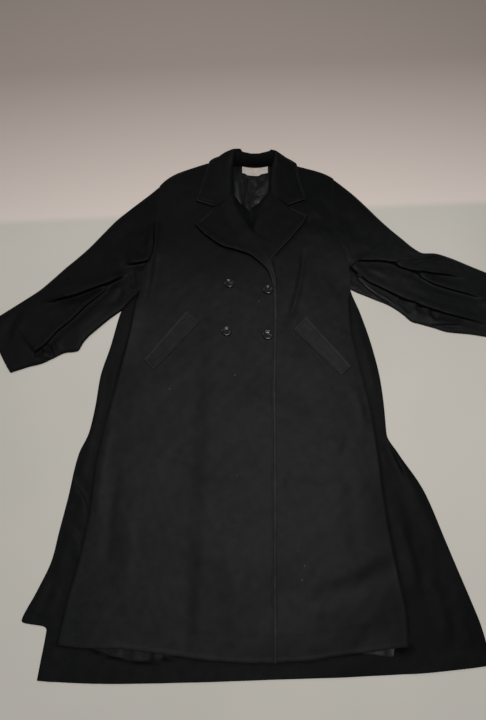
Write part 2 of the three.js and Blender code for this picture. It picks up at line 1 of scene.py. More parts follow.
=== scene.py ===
import math
import bpy
import numpy as np
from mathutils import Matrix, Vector


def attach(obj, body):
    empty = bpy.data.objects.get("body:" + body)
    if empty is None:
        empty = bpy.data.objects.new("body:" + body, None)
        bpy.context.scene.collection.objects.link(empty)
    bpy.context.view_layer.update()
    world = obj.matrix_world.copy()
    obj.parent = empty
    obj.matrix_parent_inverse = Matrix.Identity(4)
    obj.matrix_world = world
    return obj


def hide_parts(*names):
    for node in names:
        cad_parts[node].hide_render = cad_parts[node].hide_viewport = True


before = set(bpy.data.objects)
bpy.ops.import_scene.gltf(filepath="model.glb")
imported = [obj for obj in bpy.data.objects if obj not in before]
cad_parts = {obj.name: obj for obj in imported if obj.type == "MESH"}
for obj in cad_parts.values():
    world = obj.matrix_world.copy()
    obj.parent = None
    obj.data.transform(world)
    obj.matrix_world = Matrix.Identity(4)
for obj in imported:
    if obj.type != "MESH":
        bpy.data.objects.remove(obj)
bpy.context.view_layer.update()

scene = bpy.context.scene

# ------------------------------------------------------------------ camera: over the skirt, tilted 20 degrees towards the collar
SHIFT = np.array([-43.0, -373.419, 0.0])
CAMERA_HEIGHT = 1067.0
cam_data = bpy.data.cameras.new("camera")
cam_data.sensor_fit = "VERTICAL"
cam_data.sensor_height = 36.0
cam_data.lens = 36.0 * 455.0 / 720.0
cam = bpy.data.objects.new("camera", cam_data)
scene.collection.objects.link(cam)
cam.location = (SHIFT[0] / 1000, SHIFT[1] / 1000, CAMERA_HEIGHT / 1000)
cam.rotation_euler = (math.radians(20.0), 0.0, 0.0)
scene.camera = cam

# ------------------------------------------------------------------ named sizes
CLOTH = 2.5
COLLAR_WALL = 3.6
SATIN = 1.0
BACK_TOP_Z = CLOTH            # top of the back where it lies flat
LOFT = 6.0                    # air and lining under the middle of a front
GAP = 0.6                     # a panel's clearance where it rests on another
FINE, WIDE = 3.2, 5.5         # lattice steps

# ------------------------------------------------------------------ outlines (as in the part's own tables)
ARMHOLE_R = [(-239, 921), (-243, 850), (-244, 779), (-246, 735), (-248, 695), (-262, 640), (-270, 583), (-292, 553), (-314, 524)]
ARMHOLE_L = [(262, 946), (256, 893), (251, 840), (253, 784), (260, 742), (271, 700), (282, 655), (284, 620), (283, 586)]
BACK_TOP = [(-239, 921), (-205, 952), (-165, 974), (-101, 999), (-62, 1004), (-24, 993), (12, 985), (35, 984), (58, 985), (92, 993),
            (122, 998), (159, 989), (204, 975), (236, 963), (262, 946)]
BACK_SIDES = [  # yR, xR, yL, xL
    (423, -333, 515, 303), (343, -350, 423, 324), (271, -354, 335, 336), (206, -362, 269, 338), (159, -379, 205, 337), (118, -386, 156, 360),
    (66, -391, 74, 407), (-12, -402, -34, 441), (-70, -410, -90, 458), (-128, -432, -145, 475), (-184, -456, -195, 489), (-201, -402, -232, 494),
    (-288, -408, -262, 494)]
BACK_HEM_DIP = 12
FRONT_RIGHT = [  # side x, y and free edge x, y
    (-239, 921, -42, 1002), (-243, 850, -33, 930), (-244, 779, -27, 858), (-246, 735, -8, 812), (-248, 695, 22, 765), (-262, 640, 48, 700),
    (-270, 583, 79, 633), (-276, 545, 86, 590), (-281, 490, 86, 530), (-290, 431, 84, 465), (-303, 360, 80, 380), (-315, 283, 77, 285),
    (-328, 205, 76, 200), (-337, 120, 74, 110), (-339, 34, 73, 25), (-349, -60, 70, -65), (-365, -145, 68, -160), (-375, -226, 66, -252)]
FRONT_LEFT = [
    (262, 946, 97, 1000), (256, 893, 82, 935), (251, 840, 70, 885), (253, 784, 50, 830), (260, 742, 34, 770), (271, 700, 8, 715),
    (282, 655, -24, 665), (284, 620, -44, 628), (283, 586, -56, 590), (275, 545, -57, 545), (275, 476, -56, 476), (284, 404, -58, 400),
    (297, 317, -62, 317), (307, 240, -64, 240), (312, 165, -65, 165), (315, 80, -67, 80), (320, -5, -68, -5), (329, -95, -71, -90),
    (338, -170, -73, -175), (335, -230, -74, -248)]
SHOULDER_BOW = {"right": 26, "left": 12}
HEM_DIP = 8
CLIMB = [(-260, -84), (200, -74), (465, -68), (590, -66), (628, -56), (665, -38), (715, -8), (753, 12), (800, 42), (1005, 120)]  # y, x
SLEEVE_R = [  # upper contour x, y and lower contour x, y
    (-262, 896, -330, 511), (-290, 868, -347, 496), (-322, 836, -363, 480), (-354, 802, -378, 465), (-386, 759, -392, 450), (-418, 715, -403, 434),
    (-448, 680, -415, 411), (-476, 650, -446, 406), (-505, 616, -474, 391), (-534, 584, -502, 377), (-575, 550, -528, 370), (-617, 517, -551, 362),
    (-655, 487, -573, 354)]
SLEEVE_L = [
    (290, 918, 303, 575), (318, 888, 325, 565), (350, 848, 348, 554), (381, 807, 372, 543), (411, 771, 394, 529), (438, 742, 414, 512),
    (464, 714, 434, 492), (489, 697, 459, 484), (520, 696, 490, 474), (556, 684, 522, 463), (615, 654, 577, 457), (678, 622, 634, 447),
    (741, 590, 691, 438)]
LAPEL_R = [  # roll line x, y, outer edge x, y, width of the slope that rolls down into the neck, height of the roll
    (-29, 876, -129, 779, 14, 8.0), (-27, 852, -114, 760, 30, 7.5), (-14, 820, -87, 735, 38, 5.5), (4, 792, -54, 711, 23, 3.6), (18, 764, -11, 695, 19, 1.2),
    (33, 731, 16, 684, 42, 0.2), (55, 692, 42, 663, 30, 0.1), (76, 656, 57, 647, 8, 0.0), (82, 632, 67, 634, 4, 0.0), (86, 610, 75, 611, 3, 0.0),
    (87, 588, 80, 588, 3, 0.0)]
APEX_R = (-79, 838)
LAPEL_L = [
    (76, 888, 177, 809, 13, 8.0), (64, 862, 163, 780, 22, 7.5), (52, 832, 146, 757, 32, 5.5), (42, 800, 127, 732, 20, 4.0), (34, 766, 107, 708, 18, 2.0),
    (40, 722, 90, 688, 24, 0.6), (48, 688, 77, 673, 22, 0.3), (44, 666, 64, 652, 10, 0.1), (34, 644, 50, 630, 6, 0.0)]
APEX_L = (127, 839)
COLLAR = [  # foot of the stand, roll, middle of the leaf, leaf edge
    ((-36, 884, 12.6), (-28, 881, 21), (-79, 842, 14), (-131, 860, 12.2)),
    ((-37, 905, 12.2), (-28, 908, 25), (-78, 882, 15), (-123, 889, 12.2)),
    ((-38, 935, 12.2), (-29, 938, 31), (-75, 922, 18), (-115, 925, 12.2)),
    ((-36, 962, 12.2), (-28, 970, 36), (-70, 962, 22), (-107, 957, 12.2)),
    ((-30, 984, 12.0), (-24, 998, 44), (-63, 995, 27), (-100, 990, 12.4)),
    ((-22, 992, 9.0), (-20, 1015, 47), (-54, 1016, 32), (-98, 1002, 12.4)),
    ((-13, 991, 4.5), (-12, 1018, 48), (-42, 1023, 31), (-84, 1020, 7)),
    ((8, 990, 3.6), (8, 1010, 42), (-6, 1028, 17), (-20, 1040, 3.8)),
    ((35, 989, 3.6), (34, 1004, 42), (34, 1022, 18), (34, 1038, 3.8)),
    ((62, 990, 3.6), (62, 1010, 44), (73, 1026, 19), (88, 1038, 3.8)),
    ((82, 991, 4.5), (82, 1015, 48), (107, 1016, 31), (142, 1012, 7)),
    ((90, 990, 9.0), (89, 1006, 46), (122, 1001, 28), (156, 994, 12.6)),
    ((94, 980, 12.0), (87, 988, 42), (124, 984, 26), (158, 979, 12.4)),
    ((92, 958, 12.2), (80, 962, 35), (122, 948, 21), (161, 948, 12.2)),
    ((88, 932, 12.2), (77, 934, 30), (123, 914, 17), (167, 918, 12.2)),
    ((85, 912, 12.2), (75, 913, 25), (125, 880, 15), (174, 888, 12.2)),
    ((84, 897, 12.6), (74, 893, 21), (127, 844, 14), (175, 864, 12.2))]
BUTTONS = {"button_upper_right": (-36, 594), "button_upper_left": (65, 576), "button_lower_right": (-41, 458), "button_lower_left": (62, 449)}
WELTS = {  # corners: outer top, inner top, inner low, outer low
    "welt_right": ((-144, 517), (-113, 486), (-219, 359), (-243, 385)),
    "welt_left": ((160, 500), (129, 466), (238, 346), (264, 367))}

# ------------------------------------------------------------------ creases
# Soft ones: path, height (less than 0 is a trough), reach on its left, reach on its right, fade at the start and at the end.
BODY_CREASES = [
    ([(-232, 800), (-237, 745), (-240, 700), (-245, 662), (-250, 592), (-263, 520), (-276, 455)], 5.5, 9, 15, .15, .35),
    ([(-222, 690), (-228, 640), (-238, 575), (-250, 520)], -2.0, 9, 14, .3, .4),
    ([(171, 713), (165, 690), (157, 640), (146, 590), (131, 532), (116, 497), (97, 462)], -5.8, 8, 7, .2, .35),
    ([(150, 700), (141, 640), (121, 575), (98, 508)], 1.5, 22, 14, .2, .3),
    ([(182, 690), (172, 635), (156, 570), (140, 520)], 1.6, 12, 24, .35, .3),
    ([(164, 790), (190, 796), (216, 814)], -2.6, 15, 20, .3, .3),
    ([(170, 736), (186, 740), (209, 751), (234, 776)], 3.2, 17, 20, .5, .3),
    ([(211, 885), (222, 860), (236, 833), (247, 806)], -1.6, 12, 16, .3, .3),
    ([(-205, 118), (-177, 109), (-97, 89), (-7, 84), (62, 92)], -2.4, 16, 20, .25, .3),
    ([(-190, 142), (-132, 121), (-90, 108)], -1.8, 14, 18, .3, .3),
    ([(84, 95), (150, 82), (214, 72)], -2.2, 14, 18, .15, .4),
    ([(346, -82), (299, -97), (224, -124), (164, -142), (112, -150)], -2.9, 18, 22, .12, .4),
    ([(337, -46), (275, -68), (216, -92), (168, -104)], 1.8, 18, 22, .15, .4),
    ([(186, 190), (208, 180), (236, 168)], 2.0, 14, 16, .3, .3),
    ([(232, 140), (240, 60), (244, -20), (250, -92)], -1.8, 14, 18, .3, .3),
    ([(-252, 60), (-246, 0), (-246, -80), (-252, -170)], 2.0, 16, 20, .3, .3),
    ([(-282, 160), (-290, 60), (-291, -30), (-300, -120)], -2.2, 12, 15, .3, .3),
    ([(-310, 250), (-318, 170), (-322, 80), (-325, 0)], 2.6, 10, 13, .25, .3),
    ([(-116, -40), (-113, -110), (-112, -190), (-118, -250)], -1.8, 16, 18, .3, .2),
    ([(-40, 10), (-22, -80), (-14, -160), (-18, -262)], 1.6, 18, 24, .3, .2),
    ([(130, 20), (138, -60), (150, -190), (152, -262)], 1.8, 18, 22, .3, .2),
    ([(268, 330), (279, 270), (286, 200)], 2.2, 10, 12, .3, .4),
    ([(-190, 780), (-170, 700), (-160, 640), (-166, 570)], -1.7, 22, 26, .3, .4),
    ([(-150, 905), (-172, 850), (-186, 790)], 1.8, 20, 22, .3, .4),
    ([(-88, 660), (-110, 600), (-122, 560)], 1.5, 20, 24, .3, .4),
    ([(-60, 340), (-76, 270), (-84, 210)], 1.4, 24, 24, .4, .4),
    ([(150, 330), (160, 270), (158, 220)], -1.4, 20, 24, .4, .4),
    ([(-12, 520), (-2, 430), (2, 360)], -1.3, 18, 20, .4, .4),
    ([(210, 640), (222, 590), (240, 552), (262, 530)], 1.8, 14, 18, .3, .3),
]
# Deep ones: path, height of its left side, half width, lip that hangs over the low side, reach, fade at the start and at the end.
SLEEVE_R_FOLDS = [
    ([(-318, 651), (-309, 651), (-284, 654), (-249, 667), (-243, 695), (-243, 735), (-242, 790)], 11, 6, 6, 42, .16, .3),
    ([(-525, 536), (-492, 544), (-441, 556), (-406, 570), (-339, 601), (-300, 628)], 14, 6, 6, 60, .3, .22),
    ([(-520, 402), (-493, 426), (-468, 461), (-435, 494), (-405, 530), (-364, 572), (-336, 606)], 6.0, 5.0, 3.0, 34, .03, .2),
]
SLEEVE_R_CREASES = [
    ([(-491, 426), (-482, 412), (-471, 391)], -5, 5, 5, .15, .2),
    ([(-504, 401), (-490, 398), (-480, 390)], 3.5, 8, 8, .25, .25),
    ([(-470, 440), (-462, 424), (-456, 408)], 2.6, 8, 8, .3, .3),
    ([(-520, 397), (-506, 404), (-496, 415)], -6, 6, 5, .1, .25),
    ([(-382, 604), (-436, 582), (-480, 560)], 3.0, 14, 12, .3, .3),
    ([(-262, 690), (-307, 672), (-345, 648), (-372, 622)], 2.2, 16, 18, .25, .3),
    ([(-300, 840), (-350, 770), (-400, 700), (-440, 655)], 2.4, 22, 26, .3, .3),
    ([(-290, 790), (-330, 735), (-372, 690)], -2.2, 18, 22, .3, .3),
    ([(-478, 622), (-468, 600), (-470, 575)], -2.6, 9, 10, .3, .3),
    ([(-352, 540), (-390, 500), (-430, 455)], 2.0, 12, 14, .3, .3),
    ([(-312, 590), (-326, 560), (-338, 530)], -3.0, 9, 10, .3, .3),
    ([(-560, 530), (-590, 480), (-590, 420)], -3.0, 12, 14, .3, .3),
    ([(-600, 500), (-622, 450), (-600, 395)], 2.4, 12, 16, .3, .3),
    ([(-545, 500), (-580, 462), (-610, 440)], 2.2, 10, 14, .3, .3),
    ([(-298, 640), (-290, 612), (-286, 580)], -3.4, 9, 9, .3, .3),
]
SLEEVE_L_FOLDS = [
    ([(289, 652), (301, 660), (332, 660), (355, 661), (397, 655), (412, 644), (437, 633), (462, 626), (498, 621), (538, 618), (600, 606)], 13, 6, 6, 60, .085, .3),
    ([(388, 655), (411, 657), (439, 660), (460, 663), (483, 669), (507, 676), (530, 680), (560, 676)], 5.5, 6, 2.5, 36, .12, .3),
    ([(440, 632), (458, 620), (477, 607), (493, 596), (511, 588), (533, 580), (590, 562), (640, 548)], 8, 5, 4, 34, .1, .35),
    ([(283, 650), (297, 633), (311, 618), (327, 601), (362, 581), (392, 564), (415, 552), (444, 540), (463, 530), (490, 519), (521, 507), (580, 492), (650, 470)],
     12, 5.5, 6, 60, .02, .3),
    ([(296, 618), (312, 599), (327, 582), (357, 556), (389, 534)], 5, 4, 3.5, 22, .1, .25),
    ([(473, 480), (496, 481), (521, 482), (560, 478)], 5, 4.5, 4, 22, .25, .3),
]
SLEEVE_L_CREASES = [
    ([(272, 656), (281, 646), (292, 632), (300, 622)], -9, 8, 8, .15, .2),
    ([(284, 622), (294, 606), (300, 594)], -5, 7, 7, .2, .3),
    ([(409, 556), (420, 536), (432, 512)], -7, 4, 7, .15, .3),
    ([(432, 552), (443, 530), (447, 506)], 3.4, 7, 6, .25, .3),
    ([(460, 541), (453, 528), (447, 520)], -6, 5, 4, .2, .3),
    ([(482, 524), (490, 506), (499, 490)], -3.6, 5, 6, .2, .3),
    ([(470, 528), (478, 508), (482, 490)], 2.2, 8, 7, .3, .3),
    ([(340, 640), (372, 622), (404, 610)], 2.4, 10, 14, .3, .3),
    ([(318, 636), (350, 620), (376, 598)], -2.2, 9, 10, .3, .3),
    ([(430, 590), (470, 570), (500, 560)], 2.2, 10, 12, .3, .3),
    ([(300, 900), (330, 850), (372, 790), (420, 735)], 2.4, 22, 24, .3, .3),
    ([(290, 830), (310, 760), (330, 712)], -2.6, 18, 20, .3, .3),
    ([(300, 735), (350, 705), (400, 690)], 2.4, 14, 18, .3, .3),
    ([(420, 720), (450, 700), (470, 688)], -2.6, 10, 12, .3, .3),
    ([(560, 660), (600, 630), (640, 615)], -2.6, 12, 14, .3, .3),
    ([(600, 550), (650, 530), (690, 520)], 2.6, 12, 14, .3, .3),
    ([(636, 640), (664, 570), (662, 500)], -2.4, 14, 18, .3, .3),
]
BACK_FOLDS = [   # where the back spreads past the fronts
    ([(-343, 5), (-345, 17), (-351, 51), (-366, 72), (-384, 97), (-392, 110)], 3.4, 6, 2, 26, .3, .3),
    ([(-338, -75), (-346, -50), (-358, -25), (-376, 0)], 3.0, 6, 2, 26, .3, .3),
    ([(334, 205), (345, 166), (362, 120), (374, 84)], 4.5, 6, 2, 30, .3, .4),
]
BACK_CREASES = [
    ([(-341, 330), (-348, 268), (-357, 205), (-371, 150)], 3.4, 9, 9, .3, .3),
    ([(-330, 396), (-334, 330), (-338, 262)], -1.4, 8, 8, .3, .3),
    ([(-352, 210), (-360, 160), (-366, 110), (-366, 84)], 2.2, 10, 11, .3, .3),
    ([(-372, 4), (-384, -40), (-392, -76), (-400, -120)], 2.6, 13, 13, .3, .3),
    ([(-360, -60), (-366, -110), (-380, -160)], -1.6, 9, 9, .3, .3),
    ([(-416, -96), (-426, -140), (-440, -178)], 2.8, 10, 11, .3, .3),
    ([(-384, -120), (-398, -160), (-412, -186)], 2.4, 9, 11, .3, .3),
    ([(294, 480), (306, 420), (318, 350), (322, 290)], 2.4, 9, 11, .3, .3),
    ([(346, 180), (362, 130), (386, 82), (408, 40)], 2.8, 12, 14, .3, .4),
    ([(352, 60), (370, 20), (392, -34), (404, -66)], -1.6, 10, 12, .3, .3),
    ([(372, 90), (396, 40), (420, -16), (436, -66)], 2.4, 14, 16, .3, .3),
    ([(340, 30), (352, -30), (362, -90), (366, -150)], 3.0, 10, 12, .3, .3),
    ([(420, -20), (430, -64), (446, -110)], -1.6, 12, 12, .3, .3),
    ([(380, -90), (402, -130), (414, -180), (420, -236)], 2.9, 14, 15, .3, .3),
    ([(356, -140), (376, -176), (390, -222)], -1.6, 9, 10, .3, .3),
    ([(440, -130), (452, -180), (458, -240)], 2.2, 14, 16, .3, .3),
]
LINING_CREASES = [
    ([(13, 962), (12, 935), (10, 910), (3, 880), (4, 852), (12, 815)], -3.4, 4.5, 4.5, .12, .2),
    ([(62, 950), (46, 926), (34, 903), (22, 876), (16, 850)], -2.6, 4, 5, .15, .25),
    ([(-24, 948), (-18, 915), (-13, 885), (-2, 842)], 3.0, 7, 6, .2, .25),
    ([(-6, 952), (-5, 920), (-7, 890), (2, 848)], -1.6, 3, 3, .2, .3),
    ([(76, 946), (66, 912), (52, 882), (34, 845)], 3.2, 8, 7, .2, .25),
    ([(30, 900), (46, 905), (66, 916)], 1.7, 9, 7, .25, .3),
    ([(28, 872), (42, 866), (58, 872)], 1.3, 9, 7, .25, .3),
    ([(34, 888), (48, 884), (64, 892)], -1.8, 3, 3, .25, .3),
    ([(28, 948), (36, 930), (50, 922)], 1.6, 8, 7, .25, .3),
    ([(22, 852), (34, 842), (44, 846)], -1.6, 3, 3, .25, .3),
]
HEM_LIFT = [(-376, 2.0), (-340, 4.0), (-290, 8.5), (-240, 10.0), (-190, 8.0), (-120, 5.0), (0, 3.0), (66, 3.0), (130, 3.0), (220, 5.0), (285, 9.0), (315, 8.0), (336, 4.0)]
HEM_SHOW = [(-330, -4), (-312, 2), (-292, 9), (-262, 17), (-232, 21), (-206, 21), (-184, 18), (-166, 13), (-150, 6), (-134, -4), (-120, -5), (0, -5), (200, -5), (236, 2), (262, 8), (284, 13), (300, 17), (303, 16), (306, -4), (322, -5)]
SIDE_LIFT_R = [(-226, 1.5), (-150, 2.5), (-70, 2.0), (30, 4.0), (120, 5.0), (205, 3.0), (283, 4.5), (360, 4.0), (431, 9.0), (490, 14.0), (530, 14.0), (560, 8.0), (583, 2.0)]
SIDE_LIFT_L = [(-230, 3.0), (-170, 3.5), (-95, 5.0), (-5, 3.0), (80, 2.5), (130, 6.0), (165, 5.0), (240, 2.0), (317, 1.5), (404, 2.0), (476, 3.0), (545, 4.0), (583, 2.0)]

# ------------------------------------------------------------------ small maths
def smooth(t):
    t = np.clip(t, 0, 1)
    return t * t * (3 - 2 * t)

def sat(t):
    return 1 - np.exp(-np.maximum(t, 0))

def lerp(a, b, t):
    return a + (b - a) * t

def interp(table, at):
    rows = sorted(table)
    return np.interp(at, [r[0] for r in rows], [r[1] for r in rows])

def through(values, at):
    """A curve through evenly numbered values without overshoot, read at row numbers `at`."""
    y = np.asarray(values, float)
    at = np.asarray(at, float)
    d = np.diff(y, axis=0)
    m = np.zeros_like(y)
    a, b = d[:-1], d[1:]
    same = a * b > 0
    m[1:-1] = np.where(same, 2 * a * b / np.where(same, a + b, 1), 0) * 0.6 + np.where(same, (a + b) / 2, 0) * 0.4
    m[0], m[-1] = d[0], d[-1]
    i = np.clip(np.floor(at).astype(int), 0, len(y) - 2)
    t = at - i
    shape = t.shape + (1,) * (y.ndim - 1)
    t = t.reshape(shape)
    return (2 * t**3 - 3 * t**2 + 1) * y[i] + (t**3 - 2 * t**2 + t) * m[i] + (-2 * t**3 + 3 * t**2) * y[i + 1] + (t**3 - t**2) * m[i + 1]

def soft_path(path, parts=6):
    p = np.asarray(path, float)
    return through(p, np.linspace(0, len(p) - 1, (len(p) - 1) * parts + 1))

def along(path, X, Y):
    """Signed distance to a path (more than 0 on its left), share of its length, and its left normal."""
    p = soft_path(path)
    seg = np.diff(p, axis=0)
    length = np.maximum(np.hypot(seg[:, 0], seg[:, 1]), 1e-9)
    unit = seg / length[:, None]
    walked = np.concatenate([[0], np.cumsum(length)])
    best = np.full(X.shape, 1e9)
    sign = np.ones(X.shape)
    share = np.zeros(X.shape)
    nx, ny = np.zeros(X.shape), np.zeros(X.shape)
    for k in range(len(seg)):
        dx, dy = X - p[k, 0], Y - p[k, 1]
        t = np.clip(dx * unit[k, 0] + dy * unit[k, 1], 0, length[k])
        ex, ey = dx - unit[k, 0] * t, dy - unit[k, 1] * t
        far = np.hypot(ex, ey)
        near = far < best
        best = np.where(near, far, best)
        sign = np.where(near, np.where(unit[k, 0] * ey - unit[k, 1] * ex >= 0, 1, -1), sign)
        share = np.where(near, (walked[k] + t) / walked[-1], share)
        nx, ny = np.where(near, -unit[k, 1], nx), np.where(near, unit[k, 0], ny)
    return best * sign, share, nx, ny

def relief(table, X, Y):
    z = np.zeros(X.shape)
    for path, high, left, right, start, end in table:
        d, s, _, _ = along(path, X, Y)
        ends = smooth(s / start) * smooth((1 - s) / end)
        z += high * ends * np.where(d > 0, np.exp(-(d / left) ** 2), np.exp(-(d / right) ** 2))
    return z

def fold(P, table, keep=None):
    """Deep folds: the cloth on the left of a path stands up and its lip hangs over the low side."""
    X, Y = P[..., 0].copy(), P[..., 1].copy()
    out = P.copy()
    keep = np.ones(X.shape) if keep is None else keep
    for path, high, half, lip, reach, start, end in table:
        d, s, nx, ny = along(path, X, Y)
        ends = smooth(s / start) * smooth((1 - s) / end) * keep
        up = smooth((d + half) / (2 * half)) * np.exp(-np.maximum(d, 0) / reach)
        crest = 0.18 * np.exp(-((d - 1.6 * half) / (1.4 * half)) ** 2)
        hollow = 0.22 * np.exp(-((d + 1.6 * half) / (1.5 * half)) ** 2)
        out[..., 2] += high * ends * (up + crest) - np.minimum(2.6, high * 0.4) * ends * hollow / 0.22
        swing = np.where(np.abs(d) < 2 * half, np.sin(np.clip(d / half, -2, 2) * np.pi / 2), 0) * lip * ends
        out[..., 0] -= nx * swing
        out[..., 1] -= ny * swing
    return out

wave_rng = np.random.default_rng(41)
WAVES = [(2 * np.pi / wave_rng.uniform(70, 330), wave_rng.uniform(0, np.pi), wave_rng.uniform(0, 2 * np.pi), wave_rng.uniform(0.18, 0.5)) for _ in range(16)]
RIPPLES = [(2 * np.pi / wave_rng.uniform(22, 60), wave_rng.uniform(0, np.pi), wave_rng.uniform(0, 2 * np.pi), wave_rng.uniform(0.03, 0.09)) for _ in range(14)]

def contact(X, Y, path, reach, strong):
    """Painted shadow: how dark the cloth is painted beside an edge that lies on it; `strong` runs along the path."""
    d, s, _, _ = along(path, X, Y)
    return np.exp(-(np.abs(d) / reach) ** 2) * np.interp(s, np.linspace(0, 1, len(strong)), strong)

def waves(X, Y):
    z = np.zeros(X.shape)
    for k, angle, phase, size in WAVES + RIPPLES:
        z += size * np.sin(k * (X * math.cos(angle) + Y * math.sin(angle)) + phase)
    return z

# ------------------------------------------------------------------ height of the fronts where they lie on the back
SIDE_R = [(y, x) for x, y, _, _ in FRONT_RIGHT]
SIDE_L = [(y, x) for x, y, _, _ in FRONT_LEFT]

def shoulder_line(X):
    u_r, u_l = np.clip((X + 239) / 197, 0, 1), np.clip((262 - X) / 165, 0, 1)
    bow = lambda u: 1 - (2 * u - 1) ** 4
    right = lerp(921, 1002, u_r) + SHOULDER_BOW["right"] * bow(u_r)
    left = lerp(946, 1000, u_l) + SHOULDER_BOW["left"] * bow(u_l)
    return np.where(X < 25, right, left)

def rise(X, Y):
    """Height of the outside of the fronts above the table."""
    right, left = X - interp(SIDE_R, Y), interp(SIDE_L, Y) - X
    dr = right + 1.8 * np.maximum(0, Y - 560)
    dl = left + 1.8 * np.maximum(0, Y - 596)
    top = np.maximum(shoulder_line(X) - Y, 0) * 1.3
    d = np.minimum(np.minimum(np.maximum(dr, 0), np.maximum(dl, 0)), top)
    air = LOFT * sat(d / 30)
    hem = interp(HEM_LIFT, X) - LOFT * 0.55
    hem_y = lerp(-228, -256, 1 - np.clip(np.abs(X - 30) / 380, 0, 1) ** 2)
    air = air + hem * np.exp(-np.maximum(Y - hem_y, 0) / 40) * sat(d / 30)
    edge_r = interp(SIDE_LIFT_R, Y) * np.exp(-np.maximum(right, 0) / 16) * smooth((590 - Y) / 40)
    edge_l = interp(SIDE_LIFT_L, Y) * np.exp(-np.maximum(left, 0) / 16) * smooth((600 - Y) / 40)
    body = (waves(X, Y) + 0.6) * sat(d / 22) + relief(BODY_CREASES, X, Y) * sat(d / 9 + 0.25)
    seam = -1.3 * np.exp(-((Y - (963 + (X + 178) * 0.233)) / 1.6) ** 2) * smooth((X + 200) / 14) * smooth((-96 - X) / 14)
    return np.maximum(BACK_TOP_Z + GAP + CLOTH + air + edge_r + edge_l + body + seam, BACK_TOP_Z + CLOTH + 0.3)

def climb(X, Y):
    return (CLOTH + 0.9) * smooth((X - (interp(CLIMB, Y) - 46)) / 46)

def upper(X, Y):
    return rise(X, Y) + climb(X, Y)

# ------------------------------------------------------------------ meshes
def metres(P):
    return (np.asarray(P, float) + SHIFT) * 0.001

def object_from(name, points, faces, smooth_shade=True):
    mesh = bpy.data.meshes.new(name)
    mesh.from_pydata(metres(points).tolist(), [], faces.tolist() if hasattr(faces, "tolist") else faces)
    mesh.validate()
    mesh.update()
    if smooth_shade:
        mesh.polygons.foreach_set("use_smooth", [True] * len(mesh.polygons))
    o = bpy.data.objects.new(name, mesh)
    scene.collection.objects.link(o)
    return o

def normals(P, wrap=False):
    if wrap:
        ext = np.concatenate([P[:, -1:], P, P[:, :1]], axis=1)
        dj = (ext[:, 2:] - ext[:, :-2])
    else:
        dj = np.gradient(P, axis=1)
    di = np.gradient(P, axis=0)
    n = np.cross(di, dj)
    size = np.linalg.norm(n, axis=2, keepdims=True)
    return n / np.maximum(size, 1e-9)

def shell(name, P, thick, bulge=0.45, under=None, pale=None):
    """A closed wall below a lattice of points whose normals face up, with rounded edges; `pale` paints highlights along
    edges, and painted shade in creases and under edges where it is below 0.
    """
    thick = np.broadcast_to(np.asarray(thick, float), P.shape[:2])
    pale = np.zeros(P.shape[:2]) if pale is None else np.broadcast_to(pale, P.shape[:2])
    if normals(P)[..., 2].mean() < 0:
        P, thick, pale = P[:, ::-1], thick[:, ::-1], pale[:, ::-1]
        under = None if under is None else under[:, ::-1]
    N = normals(P)
    low = P - N * thick[..., None] if under is None else under
    n, m = P.shape[:2]
    idx = np.arange(n * m).reshape(n, m)
    ring = np.concatenate([idx[0, :-1], idx[:-1, -1], idx[-1, :0:-1], idx[:0:-1, 0]])
    top, bottom = P.reshape(-1, 3), low.reshape(-1, 3)
    loop = top[ring]
    way = np.roll(loop, -1, 0) - np.roll(loop, 1, 0)
    out = np.cross(way, N.reshape(-1, 3)[ring])
    out /= np.maximum(np.linalg.norm(out, axis=1, keepdims=True), 1e-9)
    centre = loop.mean(0)
    if ((loop - centre) * out).sum(1).mean() < 0:
        out = -out
    round_off = out * thick.reshape(-1)[ring][:, None] * bulge
    mids = [lerp(top[ring], bottom[ring], f) + round_off * w for f, w in ((0.06, 0.65), (0.5, 1.0), (0.94, 0.65))]
    points = np.concatenate([top, bottom] + mids)
    points[:, 2] = np.maximum(points[:, 2], 0.0)
    off = n * m
    a, b, c, d = idx[:-1, :-1], idx[1:, :-1], idx[1:, 1:], idx[:-1, 1:]
    quads = [np.stack([a, b, c, d], -1).reshape(-1, 4), np.stack([a + off, d + off, c + off, b + off], -1).reshape(-1, 4)]
    k = np.arange(len(ring))
    k2 = (k + 1) % len(ring)
    rows = [ring] + [2 * off + i * len(ring) + k for i in range(3)] + [ring + off]
    for r0, r1 in zip(rows[:-1], rows[1:]):
        quads.append(np.stack([r0[k], r0[k2], r1[k2], r1[k]], -1))
    o = object_from(name, points, np.concatenate(quads))
    painted_light_mask = o.data.attributes.new("pale_edge", "FLOAT", "POINT")
    flat_pale = pale.reshape(-1)
    painted_light_mask.data.foreach_set("value", np.concatenate([flat_pale, flat_pale * 0] + [flat_pale[ring] * w for w in (0.5, 0.1, 0.0)]).astype(np.float32))
    return o

